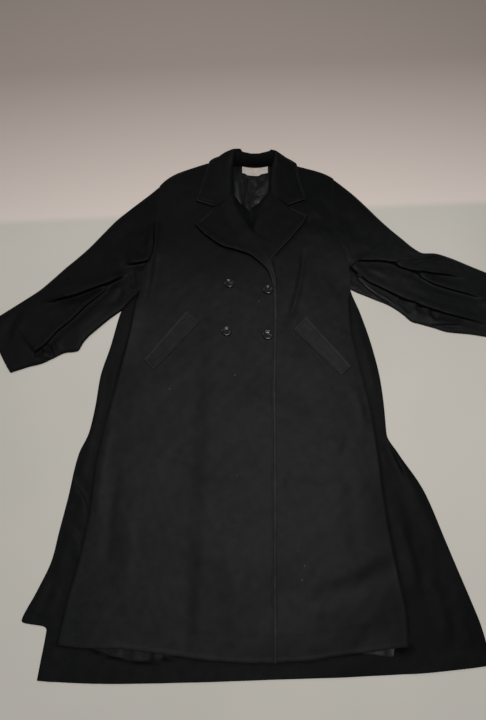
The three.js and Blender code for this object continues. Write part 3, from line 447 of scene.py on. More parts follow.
def tube(name, rings, thick):
    """A closed wall inside rings of points, open at both ends."""
    N = normals(rings, wrap=True)
    centre = rings.mean(axis=1, keepdims=True)
    if ((rings - centre) * N)[..., 2].sum() < 0:
        N = -N
    inner = rings - N * thick
    inner[..., 2] = np.clip(inner[..., 2], 0.6, None)
    n, m = rings.shape[:2]
    idx = np.arange(n * m).reshape(n, m)
    nxt = np.roll(idx, -1, 1)
    off = n * m
    a, b, c, d = idx[:-1], idx[1:], nxt[1:], nxt[:-1]
    quads = [np.stack([a, b, c, d], -1).reshape(-1, 4), np.stack([a + off, d + off, c + off, b + off], -1).reshape(-1, 4)]
    quads.append(np.stack([idx[0], nxt[0], nxt[0] + off, idx[0] + off], -1))
    quads.append(np.stack([idx[-1], idx[-1] + off, nxt[-1] + off, nxt[-1]], -1))
    faces = np.concatenate(quads)
    p = np.concatenate([rings.reshape(-1, 3), inner.reshape(-1, 3)])
    q = p[faces]
    volume = np.einsum("ij,ij->i", q[:, 0], np.cross(q[:, 1], q[:, 2])).sum() + np.einsum("ij,ij->i", q[:, 0], np.cross(q[:, 2], q[:, 3])).sum()
    return object_from(name, p, faces if volume > 0 else faces[:, ::-1])

EDGE = np.array([0, 0.8, 1.8, 3.0, 4.2, 5.4, 6.6, 7.8, 9.4, 11.6, 14.5])    # columns close together along a stitched edge

def spread(width, step, fine_start=False, fine_end=False, count=None):
    """Column positions in mm across rows of the given widths, as many in every row."""
    a = EDGE if fine_start else EDGE[:1]
    b = EDGE if fine_end else EDGE[:1]
    n = count or max(int(math.ceil((np.max(width) - a[-1] - b[-1]) / step)), 2)
    w = np.asarray(width)[:, None]
    mid = a[-1] + (w - a[-1] - b[-1]) * np.linspace(0, 1, n + 1)[None, :]
    left = np.broadcast_to(a[:-1], (len(w), len(a) - 1))
    right = w - b[::-1][1:][None, :]
    return np.concatenate([left, mid, right], axis=1)

def finer(points, step, fine_start=False, fine_end=False):
    """Row numbers, whole and between, so that rows are about a step apart."""
    p = np.asarray(points, float)
    gap = np.hypot(*np.diff(p, axis=0).T)
    at = [0.0]
    for i, g in enumerate(gap):
        n = max(int(math.ceil(g / step)), 1)
        at += [i + (k + 1) / n for k in range(n)]
    at = np.array(at)
    if fine_start:
        at = np.concatenate([EDGE / gap[0], at[at > EDGE[-1] / gap[0] + 0.02]])
    if fine_end:
        last = len(p) - 1
        at = np.concatenate([at[at < last - EDGE[-1] / gap[-1] - 0.02], last - EDGE[::-1] / gap[-1]])
    return at

def groove(distance, place=6.0, width=1.3):
    return np.exp(-((distance - place) / width) ** 2)

def stitches(name, line, mat, pitch=4.6, long=3.1, thick=0.55, sink=0.1):
    """A row of short threads along a line of points on the cloth."""
    line = np.asarray(line, float)
    gap = np.linalg.norm(np.diff(line, axis=0), axis=1)
    walked = np.concatenate([[0], np.cumsum(gap)])
    points, faces = [], []
    at = pitch
    while at + long < walked[-1]:
        a = np.array([np.interp(at, walked, line[:, i]) for i in range(3)])
        b = np.array([np.interp(at + long, walked, line[:, i]) for i in range(3)])
        way = (b - a) / max(np.linalg.norm(b - a), 1e-9)
        side = np.cross(way, (0, 0, 1.0))
        side /= max(np.linalg.norm(side), 1e-9)
        up = np.cross(side, way)
        k = len(points)
        lift = up * (thick * 0.35 - sink)
        points += [a - up * 0.3, b - up * 0.3]
        for f in (0.25, 0.75):
            mid = lerp(a, b, f) + lift
            points += [mid + side * thick / 2, mid + up * thick / 2, mid - side * thick / 2, mid - up * thick / 2]
        for j in range(4):
            j2 = (j + 1) % 4
            faces += [(k, k + 2 + j, k + 2 + j2), (k + 2 + j, k + 6 + j, k + 6 + j2, k + 2 + j2), (k + 1, k + 6 + j2, k + 6 + j)]
        at += pitch
    o = object_from(name, np.array(points), faces)
    o.data.materials.append(mat)
    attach(o, "root")
    return o

# ------------------------------------------------------------------ materials, all from nodes
def new_material(name):
    m = bpy.data.materials.new(name)
    m.use_nodes = True
    t = m.node_tree
    return m, t, t.nodes["Principled BSDF"]

def put(t, kind, **values):
    n = t.nodes.new(kind)
    for key, value in values.items():
        if key in n.inputs:
            n.inputs[key].default_value = value
        else:
            setattr(n, key, value)
    return n

def spot_noise(t, where, scale, detail=2.0, rough=0.5):
    n = put(t, "ShaderNodeTexNoise")
    n.inputs["Scale"].default_value = scale
    n.inputs["Detail"].default_value = detail
    n.inputs["Roughness"].default_value = rough
    t.links.new(where, n.inputs["Vector"])
    return n.outputs["Fac"]

def remap(t, value, low, high, to_low=0.0, to_high=1.0):
    n = put(t, "ShaderNodeMapRange")
    n.inputs["From Min"].default_value, n.inputs["From Max"].default_value = low, high
    n.inputs["To Min"].default_value, n.inputs["To Max"].default_value = to_low, to_high
    t.links.new(value, n.inputs["Value"])
    return n.outputs["Result"]

def blend_colour(t, factor, a, b):
    n = put(t, "ShaderNodeMix", data_type="RGBA")
    for socket, value in ((n.inputs[6], a), (n.inputs[7], b)):
        if isinstance(value, tuple):
            socket.default_value = (*value, 1)
        else:
            t.links.new(value, socket)
    t.links.new(factor, n.inputs[0])
    return n.outputs[2]

def arithmetic(t, operation, a, b):
    n = put(t, "ShaderNodeMath", operation=operation)
    for socket, value in zip(n.inputs, (a, b)):
        if isinstance(value, (int, float)):
            socket.default_value = value
        else:
            t.links.new(value, socket)
    return n.outputs[0]

def bump(t, shader, height, strength, distance):
    n = put(t, "ShaderNodeBump")
    n.inputs["Strength"].default_value = strength
    n.inputs["Distance"].default_value = distance
    t.links.new(height, n.inputs["Height"])
    t.links.new(n.outputs["Normal"], shader.inputs["Normal"])

def wool_material(name, shade, gloss, dust_and_sheen):
    m, t, b = new_material(name)
    where = put(t, "ShaderNodeTexCoord").outputs["Object"]
    broad = spot_noise(t, where, 11, 3.0)
    patch = spot_noise(t, where, 48, 3.0, 0.6)
    mottled = remap(t, arithmetic(t, "ADD", arithmetic(t, "MULTIPLY", broad, 0.6), arithmetic(t, "MULTIPLY", patch, 0.4)), 0.36, 0.66)
    stretch = put(t, "ShaderNodeMapping")
    stretch.inputs["Scale"].default_value = (1.0, 0.34, 1.0)
    t.links.new(where, stretch.inputs["Vector"])
    fibre = spot_noise(t, stretch.outputs["Vector"], 1500, 3.0, 0.65)
    tuft = spot_noise(t, where, 420, 3.0, 0.6)
    colour = blend_colour(t, mottled, tuple(c * shade for c in (0.0005, 0.0006, 0.0006)), tuple(c * shade for c in (0.0011, 0.0013, 0.0012)))
    colour = blend_colour(t, remap(t, fibre, 0.40, 0.72), colour, tuple(c * shade for c in (0.0030, 0.0036, 0.0035)))
    # partly dust, partly painted sheen: the skirt is painted paler than the shoulders, standing in for the light's
    # glossy lobe on the nap, and less so towards the lower right corner
    place = put(t, "ShaderNodeSeparateXYZ")
    t.links.new(where, place.inputs[0])
    lower = remap(t, arithmetic(t, "SUBTRACT", place.outputs[1], arithmetic(t, "MULTIPLY", place.outputs[0], 0.18)), 0.40, 0.16)
    clouds = remap(t, patch, 0.3, 0.7, 0.55, 1.0)
    corner = remap(t, arithmetic(t, "SUBTRACT", place.outputs[0], arithmetic(t, "MULTIPLY", place.outputs[1], 0.35)), 0.28, 0.37, 1.0, 0.5)
    lower = arithmetic(t, "MULTIPLY", lower, corner)
    colour = blend_colour(t, arithmetic(t, "MULTIPLY", arithmetic(t, "MULTIPLY", lower, clouds), dust_and_sheen), colour, (0.0148, 0.0160, 0.0157))
    # lint, most of it beside the closing edge low on the skirt
    cells = put(t, "ShaderNodeTexVoronoi")
    cells.inputs["Scale"].default_value = 58
    drawn = put(t, "ShaderNodeMapping")
    drawn.inputs["Scale"].default_value = (1.0, 0.5, 1.0)
    drawn.inputs["Rotation"].default_value = (0, 0, 0.4)
    t.links.new(where, drawn.inputs["Vector"])
    t.links.new(drawn.outputs["Vector"], cells.inputs["Vector"])
    near = remap(t, cells.outputs["Distance"], 0.030, 0.068, 1.0, 0.0)
    pick = put(t, "ShaderNodeSeparateColor")
    t.links.new(cells.outputs["Color"], pick.inputs["Color"])
    spot = put(t, "ShaderNodeVectorMath", operation="DISTANCE")
    t.links.new(where, spot.inputs[0])
    spot.inputs[1].default_value = (0.085, -0.475, 0.01)
    few = arithmetic(t, "GREATER_THAN", pick.outputs[0], remap(t, spot.outputs["Value"], 0.03, 0.13, 0.70, 0.972))
    colour = blend_colour(t, arithmetic(t, "MULTIPLY", near, few), colour, (0.085, 0.085, 0.083))
    # painted light and shade: pale_edge above 0 paints highlights on rims and edges, below 0 paints shade in creases
    # and under edges, where the cloth is also made rougher
    painted_light_mask = put(t, "ShaderNodeAttribute", attribute_name="pale_edge")
    deep = remap(t, painted_light_mask.outputs["Fac"], 0.0, -1.0)
    colour = blend_colour(t, arithmetic(t, "MULTIPLY", remap(t, painted_light_mask.outputs["Fac"], 0.0, 1.0), clouds), colour, (0.036, 0.039, 0.038))
    colour = blend_colour(t, deep, colour, (0.0003, 0.0003, 0.0003))
    t.links.new(colour, b.inputs["Base Color"])
    t.links.new(arithmetic(t, "ADD", remap(t, tuft, 0.3, 0.7, 0.50, 0.62), arithmetic(t, "MULTIPLY", deep, 0.4)), b.inputs["Roughness"])
    b.inputs["Specular IOR Level"].default_value = gloss
    b.inputs["Sheen Weight"].default_value = 0.004
    b.inputs["Sheen Roughness"].default_value = 0.55
    b.inputs["Sheen Tint"].default_value = (0.80, 0.92, 0.90, 1)
    bump(t, b, arithmetic(t, "ADD", arithmetic(t, "MULTIPLY", fibre, 0.55), arithmetic(t, "MULTIPLY", tuft, 0.9)), 0.5, 0.0006)
    return m

def satin_material(name):
    m, t, b = new_material(name)
    where = put(t, "ShaderNodeTexCoord").outputs["Object"]
    soft = spot_noise(t, where, 60, 3.0, 0.55)
    fine = spot_noise(t, where, 2600, 1.0)
    colour = blend_colour(t, remap(t, soft, 0.35, 0.65), (0.0036, 0.0040, 0.0039), (0.0072, 0.0078, 0.0078))
    # painted light and shade: pale_edge above 0 paints highlights, below 0 paints shade in folds and under edges
    painted_light_mask = put(t, "ShaderNodeAttribute", attribute_name="pale_edge")
    deep = remap(t, painted_light_mask.outputs["Fac"], 0.0, -1.0)
    colour = blend_colour(t, remap(t, painted_light_mask.outputs["Fac"], 0.0, 1.0), colour, (0.0150, 0.0160, 0.0158))
    colour = blend_colour(t, deep, colour, (0.0003, 0.0003, 0.0003))
    t.links.new(colour, b.inputs["Base Color"])
    t.links.new(arithmetic(t, "ADD", remap(t, fine, 0.3, 0.7, 0.30, 0.40), arithmetic(t, "MULTIPLY", deep, 0.5)), b.inputs["Roughness"])
    b.inputs["Specular IOR Level"].default_value = 0.17
    b.inputs["Sheen Weight"].default_value = 0.02
    b.inputs["Sheen Roughness"].default_value = 0.35
    bump(t, b, arithmetic(t, "ADD", arithmetic(t, "MULTIPLY", soft, 1.0), arithmetic(t, "MULTIPLY", fine, 0.05)), 0.12, 0.004)
    return m

def label_material(name):
    m, t, b = new_material(name)
    where = put(t, "ShaderNodeTexCoord").outputs["Object"]
    rib = put(t, "ShaderNodeTexWave", wave_type="BANDS", bands_direction="Y")
    rib.inputs["Scale"].default_value = 620
    rib.inputs["Distortion"].default_value = 0.6
    t.links.new(where, rib.inputs["Vector"])
    soil = spot_noise(t, where, 90, 3.0)
    colour = blend_colour(t, remap(t, soil, 0.3, 0.7), (0.365, 0.325, 0.303), (0.46, 0.410, 0.380))
    t.links.new(colour, b.inputs["Base Color"])
    t.links.new(remap(t, rib.outputs["Fac"], 0, 1, 0.5, 0.62), b.inputs["Roughness"])
    bump(t, b, rib.outputs["Fac"], 0.25, 0.0003)
    return m

def button_material(name):
    m, t, b = new_material(name)
    where = put(t, "ShaderNodeTexCoord").outputs["Object"]
    cloud = spot_noise(t, where, 240, 3.0)
    t.links.new(blend_colour(t, remap(t, cloud, 0.3, 0.7), (0.006, 0.006, 0.0065), (0.012, 0.012, 0.012)), b.inputs["Base Color"])
    t.links.new(remap(t, cloud, 0.3, 0.7, 0.14, 0.20), b.inputs["Roughness"])
    b.inputs["Specular IOR Level"].default_value = 0.30
    b.inputs["Coat Weight"].default_value = 0.30
    b.inputs["Coat Roughness"].default_value = 0.10
    return m

def thread_material(name, dark):
    m, t, b = new_material(name)
    where = put(t, "ShaderNodeTexCoord").outputs["Object"]
    twist = spot_noise(t, where, 3000, 1.0)
    t.links.new(blend_colour(t, remap(t, twist, 0.35, 0.65), tuple(c * 0.6 for c in dark), dark), b.inputs["Base Color"])
    b.inputs["Roughness"].default_value = 0.55
    b.inputs["Sheen Weight"].default_value = 0.02
    bump(t, b, twist, 0.3, 0.0002)
    return m

# WOOL_SLEEVE (right sleeve) and WOOL_BACK are painted darker than the fronts' wool, with less of the pale skirt mix:
# painted shade
WOOL = wool_material("wool_black", 1.0, 0.085, 0.50)
WOOL_SLEEVE = wool_material("wool_black_sleeve", 0.9, 0.07, 0.10)
WOOL_BACK = wool_material("wool_black_back", 0.9, 0.05, 0.28)
SATIN_LOOK = satin_material("satin_black")
LABEL_LOOK = label_material("label_woven_blank")
BUTTON_LOOK = button_material("button_gloss_black")
THREAD = thread_material("thread_black", (0.012, 0.013, 0.013))
BINDING = thread_material("binding_grey", (0.0105, 0.0105, 0.010))

# ------------------------------------------------------------------ placing pieces
def lattice_area(P, wrap=False):
    Q = np.concatenate([P, P[:, :1]], axis=1) if wrap else P
    a, b, c, d = Q[:-1, :-1], Q[1:, :-1], Q[1:, 1:], Q[:-1, 1:]
    return 0.5 * (np.linalg.norm(np.cross(b - a, c - a), axis=2).sum() + np.linalg.norm(np.cross(c - a, d - a), axis=2).sum()) * 1e-6

def cloth(o, mat, nodes, flat, area):
    o.data.materials.append(mat)
    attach(o, "root")
    if nodes:
        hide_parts(*nodes)
    print("cut", o.name, flat, round(area, 4), round(area / (flat[0] * flat[1]), 3))
    return o

# back: outside down on the table, seen where it spreads past the fronts
def back_lattice():
    left = np.array(ARMHOLE_R + [(x, y) for y, x, _, _ in BACK_SIDES], float)
    right = np.array(ARMHOLE_L + [(x, y) for _, _, y, x in BACK_SIDES], float)
    at = finer(0.5 * (left + right), 5.0, fine_end=True)
    at = np.unique(np.round(np.concatenate([at, [18.35, 18.7, 19.15, 19.5, 19.85]]), 4))
    L, R = through(left, at), through(right, at)
    width = np.hypot(*(R - L).T)
    side = np.array([0, 1.0, 2.4, 4.5, 7.5, 11, 15, 19, 23, 27, 31, 35, 39, 43, 47, 52, 57, 62, 67, 72, 77, 82, 87, 92, 97, 102, 107, 112, 117, 122, 127, 132, 138, 144, 150])
    w = width[:, None]
    inner = side[-1] + (w - 2 * side[-1]) * np.linspace(0, 1, 26)[None, 1:-1]
    cols = np.concatenate([np.broadcast_to(side, (len(w), len(side))), inner, w - side[::-1][None, :]], axis=1)
    u = cols / w
    X = lerp(L[:, :1], R[:, :1], u)
    Y = lerp(L[:, 1:], R[:, 1:], u)
    i = at[:, None]
    fade = np.clip(1 - i / 8, 0, 1) ** 2
    Y = Y + (interp(BACK_TOP, lerp(-239, 262, u)) - lerp(921, 946, u)) * fade
    Y = Y - BACK_HEM_DIP * smooth((i - 15) / 6) * (1 - (2 * u - 1) ** 4)
    out_r = smooth((interp(SIDE_R, Y) + 6 - X) / 16) * smooth((560 - Y) / 60)
    out_l = smooth((X - interp(SIDE_L, Y) + 6) / 16) * smooth((580 - Y) / 60)
    shown = np.maximum(out_r, out_l)
    hem = smooth((-236 - Y) / 20)
    edge = np.minimum(cols, w - cols)
    Z = BACK_TOP_Z + shown * (np.maximum(waves(X, Y) * 0.9 + 1.3, 0) + np.maximum(relief(BACK_CREASES, X, Y), -1.2)) * sat(edge / 14 + 0.12)
    Z = Z + hem * np.maximum(waves(X * 1.7, Y * 1.7) * 0.7 + 0.8, 0) * 0.8
    P = fold(np.stack([X, Y, Z], -1), BACK_FOLDS, shown * smooth(edge / 12 + 0.2))
    P[..., 2] = np.maximum(P[..., 2], BACK_TOP_Z)
    P[..., 2] -= 0.5 * groove(edge, 0, 1.2)
    # painted contact shadow: the back is painted dark beside the fronts' side edges, beside the front hem and its
    # corner, and under the hem lining's lower edge
    dark = np.maximum(contact(X, Y, [(x, y) for x, y, _, _ in FRONT_RIGHT[6:]], 6.0, (0.9, 1.0, 1.0, 0.8, 0.5, 0.5, 0.6, 0.6, 0.5, 0.5, 0.5, 0.7)),
                      contact(X, Y, [(x, y) for x, y, _, _ in FRONT_LEFT[8:]], 5.0, (0.8, 0.6, 0.35, 0.3, 0.3, 0.4, 0.6, 0.6, 0.5, 0.6, 0.5, 0.6)))
    dark = np.maximum(dark, contact(X, Y, HEM, 5.5, (0.8, 0.9, 1.0, 1.0, 0.9, 0.8, 0.6, 0.6, 0.6, 0.7, 0.9, 1.0, 0.9)))
    dark = np.maximum(dark, contact(X, Y, [(307, -236), (322, -237), (340, -233)], 9.0, (0.9, 1.1, 0.7)))
    under = [(x, interp(HEM, x) - interp(HEM_SHOW, x) - 2.5) for x in range(-318, -128, 10)]
    dark = np.maximum(dark, contact(X, Y, under, 3.2, (0.4, 0.9, 1.0, 1.0, 1.1, 1.0, 0.9, 0.9, 0.5)))
    return P, -0.85 * dark

# front hem, from the wearer's right to left
HEM = [(-376, -225.8), (-329, -229.9), (-250, -229.4), (-188, -236.3), (-124, -244.6), (-74, -250.2), (0, -255.3), (66, -255.2), (134, -251.9), (184, -244.3),
       (259, -236.3), (302, -230.8), (336, -229.8)]
P, dark = back_lattice()
under = P.copy()
under[..., 2] = np.maximum(P[..., 2] - CLOTH, 0.0)
back = shell("wool_back", P, CLOTH, under=under, pale=dark)
cloth(back, WOOL_BACK, ["back"], (0.95, 1.32), lattice_area(P))

# fronts
def front_lattice(table, bow, height, edge_stitch):
    t = np.array(table, float)
    n = len(t)
    at = finer(t[:, 2:], 4.6, fine_end=True)
    S, E = through(t[:, :2], at), through(t[:, 2:], at)
    width = np.hypot(*(E - S).T)
    cols = spread(width, 4.8, True, True)
    w = width[:, None]
    u = cols / w
    X, Y = lerp(S[:, :1], E[:, :1], u), lerp(S[:, 1:], E[:, 1:], u)
    i = at[:, None]
    Y = Y + bow * np.clip(1 - i / 3, 0, 1) ** 2 * (1 - (2 * u - 1) ** 4)
    Y = Y + (interp(HEM, X) - lerp(t[-1, 1], t[-1, 3], u)) * smooth((i - (n - 4)) / 3) 
    Z = height(X, Y)
    below = smooth((600 - E[:, 1:]) / 30)
    side_free = smooth((585 - S[:, 1:]) / 30)
    # side edge: the cloth turns under in a soft roll; armhole: a shallow seam
    turn = np.clip(cols / 6.5, 0, 1)
    Z = Z - side_free * (1 - np.sqrt(np.maximum(1 - (1 - turn) ** 2, 0))) * np.clip(Z - 5.6, 0, 5)
    Z = Z - (1 - side_free) * 0.25 * groove(cols, 0, 2.4)
    free = w - cols
    if edge_stitch:
        Z = Z - below * 0.75 * groove(free, 7.0, 1.5) + below * 0.9 * groove(free, 2.6, 2.6)
    foot = np.abs(Y - interp(HEM, X))
    Z = Z - 0.2 * groove(foot, 42, 3.5) * sat(free / 8) + 0.5 * groove(foot, 3, 3.5)
    # painted highlight: on the stitched front a pale rim along the free edge and its topstitch, varying along its
    # length; on the other front the armhole seam is painted paler to cancel the seam's shading
    pale = below * (lerp(0.40, 0.58, smooth((Y + 120) / 320)) + 0.10 * np.sin(Y / 37) + 0.07 * np.sin(Y / 11)) * (np.exp(-((free - 1.5) / 1.8) ** 2) + 0.25 * groove(free, 4.8, 1.6)) if edge_stitch else 0.085 * (1 - side_free) * np.exp(-(cols / 2.6) ** 2)
    return np.stack([X, Y, Z], -1), pale

P, pale = front_lattice(FRONT_LEFT, SHOULDER_BOW["left"], rise, False)
# painted shadow: the front is painted dark along the outer edge of the lapel that lies on it
dark = contact(P[..., 0], P[..., 1], [row[2:4] for row in LAPEL_L], 5.5, (1.0, 1.0, 0.8, 0.55, 0.45, 0.4, 0.35, 0.2, 0))
cloth(shell("wool_front_left", P, CLOTH, pale=pale - 0.8 * dark), WOOL, ["front_left"], (0.46, 1.27), lattice_area(P))
P, pale = front_lattice(FRONT_RIGHT, SHOULDER_BOW["right"], upper, True)
FRONT_R = P
# painted shadow: the front is painted dark along the outer edge of the lapel that lies on it
dark = contact(P[..., 0], P[..., 1], [row[2:4] for row in LAPEL_R], 4.5, (0.8, 0.9, 1.0, 1.0, 1.0, 1.0, 1.0, 1.0, 0.9, 0.7, 0.0))
cloth(shell("wool_front_right", P, CLOTH, bulge=0.6, pale=pale - 0.95 * dark), WOOL, ["front_right"], (0.46, 1.27), lattice_area(P))
m = FRONT_R.shape[1]
run = FRONT_R[:, m - 7][FRONT_R[:, m - 7, 1] < 612]
stitches("stitches_front_edge", run, THREAD)

# sleeves
def sleeve_lattice(armhole, table, folds, creases, sign, front):
    arm, t = np.array(armhole, float), np.array(table, float)
    T, B = np.vstack([arm[:1], t[:, :2]]), np.vstack([arm[-1:], t[:, 2:]])
    at = finer(T, FINE, fine_start=True)
    Tf, Bf = through(T, at), through(B, at)
    width = np.hypot(*(Bf - Tf).T)
    cols = spread(width, FINE, True, True)
    w = width[:, None]
    u = cols / w
    bow = np.clip(1 - at / 5, 0, 1)[:, None] ** 1.5
    chord = lerp(arm[0], arm[-1], u[..., None])
    curve = through(arm, u * (len(arm) - 1))
    X = lerp(Tf[:, :1], Bf[:, :1], u) + (curve - chord)[..., 0] * bow + sign * 0.5 * (at[:, None] == 0)
    Y = lerp(Tf[:, 1:], Bf[:, 1:], u) + (curve - chord)[..., 1] * bow
    edge = np.minimum(cols, w - cols)
    air = LOFT * sat(edge / 26)
    Z = BACK_TOP_Z + GAP + CLOTH + air + (waves(X, Y) + 0.6) * sat(edge / 22) + relief(creases, X, Y) * sat(edge / 10)
    seam = at[:, None] * np.hypot(*(T[1] - T[0]))
    Z = np.maximum(Z, BACK_TOP_Z + CLOTH + 0.5)
    Z = lerp(Z, front(curve[..., 0], curve[..., 1]), smooth((curve[..., 1] - (700 if sign > 0 else 668)) / 30) * (1 - smooth(seam / 34)))
    keep = smooth(edge / 13) * smooth((at[-1] - at[:, None]) / 1.5)
    P = fold(np.stack([X, Y, Z], -1), folds, keep)
    P[..., 2] = np.maximum(P[..., 2], BACK_TOP_Z + CLOTH + 0.3)
    P[..., 2] -= 0.2 * groove(seam, 0, 2.4) + 0.35 * (at[:, None] == 0)
    turn = np.clip(edge / 8.5, 0, 1)
    quarter = np.sqrt(np.maximum(1 - (1 - turn) ** 2, 0))
    middle = 2.7
    P[..., 2] = middle + (P[..., 2] - middle) * quarter
    low = np.stack([X, Y, middle * (1 - quarter)], -1)
    pick = np.concatenate([np.arange(1, 11), np.arange(11, cols.shape[1] - 11, 3), np.arange(cols.shape[1] - 11, cols.shape[1] - 1)])
    rings = np.concatenate([P, low[:, pick[::-1]]], axis=1)
    return P, rings

SLEEVE_TOP_R, rings = sleeve_lattice(ARMHOLE_R, SLEEVE_R, SLEEVE_R_FOLDS, SLEEVE_R_CREASES, 1, upper)
cloth(tube("wool_sleeve_right", rings, CLOTH), WOOL_SLEEVE, ["sleeve_right"], (0.82, 0.56), lattice_area(rings, True))
SLEEVE_TOP_L, rings = sleeve_lattice(ARMHOLE_L, SLEEVE_L, SLEEVE_L_FOLDS, SLEEVE_L_CREASES, -1, rise)
cloth(tube("wool_sleeve_left", rings, CLOTH), WOOL, ["sleeve_left"], (0.82, 0.58), lattice_area(rings, True))

# lapels: turned back along a soft roll; the inner side slopes down into the neck
def lapel_lattice(table, apex, inward, height, low_z, edge_lift):
    t = np.array(table, float)
    at = finer(t[:, 2:4], 3.6, fine_start=True)
    V = through(t, at)
    R, E, slope, roll = V[:, :2], V[:, 2:4], V[:, 4:5], V[:, 5:6]
    width = np.hypot(*(E - R).T)
    cols = spread(np.maximum(width, 34), 3.6, False, True)
    cols = cols * (width / np.maximum(width, 34))[:, None]
    w = np.maximum(width, 1e-6)[:, None]
    u = cols / w
    X, Y = lerp(R[:, :1], E[:, :1], u), lerp(R[:, 1:], E[:, 1:], u)
    bend = np.clip(1 - at / 2, 0, 1)[:, None] ** 2
    k = np.where(u < 0.5, u / 0.5, (1 - u) / 0.5)
    X = X + (apex[0] - (t[0, 0] + t[0, 2]) / 2) * k * bend
    Y = Y + (apex[1] - (t[0, 1] + t[0, 3]) / 2) * k * bend
    out = w - cols
    top_gap = at[:, None] * np.hypot(*(t[1, 2:4] - t[0, 2:4]))
    rim = np.minimum(out, top_gap + 40 * smooth((0.60 - u) / 0.10))
    wide = sat(w / 30)
    Z = height(X, Y) + 1.0 + CLOTH + roll * (1 - smooth(cols / np.minimum(46, w * 0.8 + 6))) + edge_lift * np.exp(-out / 11) * wide
    Z = Z - 0.9 * groove(rim, 7.0, 1.5) * wide + 0.9 * groove(rim, 2.6, 2.4) * wide
    # painted highlight: pale paints a light rim along the lapel edge, fading out on the tail that runs under; on the
    # tail that turns into the front edge the whole strip is painted lighter
    if inward < 0:                      # its tail runs out under the other front
        Z = Z - 3.4 * smooth((at[:, None] - 6.2) / 0.9)
        pale = 0.19 * np.exp(-((rim - 1.6) / 1.9) ** 2) * smooth((8.4 - at[:, None]) / 1.5)
    else:                               # its tail turns over into the front edge
        Z = Z - 3.55 * smooth((at[:, None] - 8.3) / 1.7)
        pale = 0.21 * np.exp(-((rim - 1.6) / 1.9) ** 2)
        pale = np.maximum(pale, 0.21 * smooth((at[:, None] - 5.9) / 1.5))
    leaf = np.stack([X, Y, Z], -1)
    s = np.linspace(1, 0, 12)[:-1][None, :]
    Xs = R[:, :1] + inward * slope * s
    Ys = R[:, 1:] + 0 * s
    zc = Z[:, :1]
    Zs = zc + (low_z(Xs, Ys, at[:, None]) - zc) * lerp(s, smooth(s), 0.6)
    P = np.concatenate([np.stack([Xs, Ys, Zs], -1), leaf], axis=1)
    thin = smooth((at[:, None] - 3.8) / 0.6) * s ** 2
    thick = np.concatenate([3.0 - 2.75 * thin, np.full(Z.shape, 3.0)], axis=1)
    pale = np.concatenate([0.6 * pale[:, :1] * (1 - s), pale], axis=1)
    return P, thick, pale

def neck_floor(i):
    return np.interp(i, [0, 0.7, 1.5, 2.4, 3.0, 3.4, 4.0], [5.0, 5.4, 7.0, 8.2, 8.0, 6.2, 6.0])

def right_low(X, Y, i):
    over_lapel = rise(X, Y) + 1.0 + CLOTH + 0.22
    return lerp(lerp(neck_floor(i), over_lapel, smooth((i - 3.75) / 0.55)), rise(X, Y) + 0.9, smooth((i - 6.6) / 0.5))

def left_low(X, Y, i):
    return lerp(neck_floor(i), rise(X, Y) + CLOTH + 0.4, smooth((i - 3.9) / 0.6))

P, thick, pale = lapel_lattice(LAPEL_R, APEX_R, 1, upper, right_low, 7.0)
cloth(shell("wool_lapel_right", P, thick, bulge=0.5, pale=pale), WOOL, ["lapel_right"], (0.17, 0.30), lattice_area(P))
stitches("stitches_lapel_right", P[10:, -7][: -14], THREAD)
P, thick, pale = lapel_lattice(LAPEL_L, APEX_L, -1, rise, left_low, 5.0)
cloth(shell("wool_lapel_left", P, thick, bulge=0.5, pale=pale), WOOL, ["lapel_left"], (0.17, 0.27), lattice_area(P))
stitches("stitches_lapel_left", P[10:, -7][: -4], THREAD)

# collar: stand, roll and fall in one sweep round the neck
ROLL_DROP = 6.0

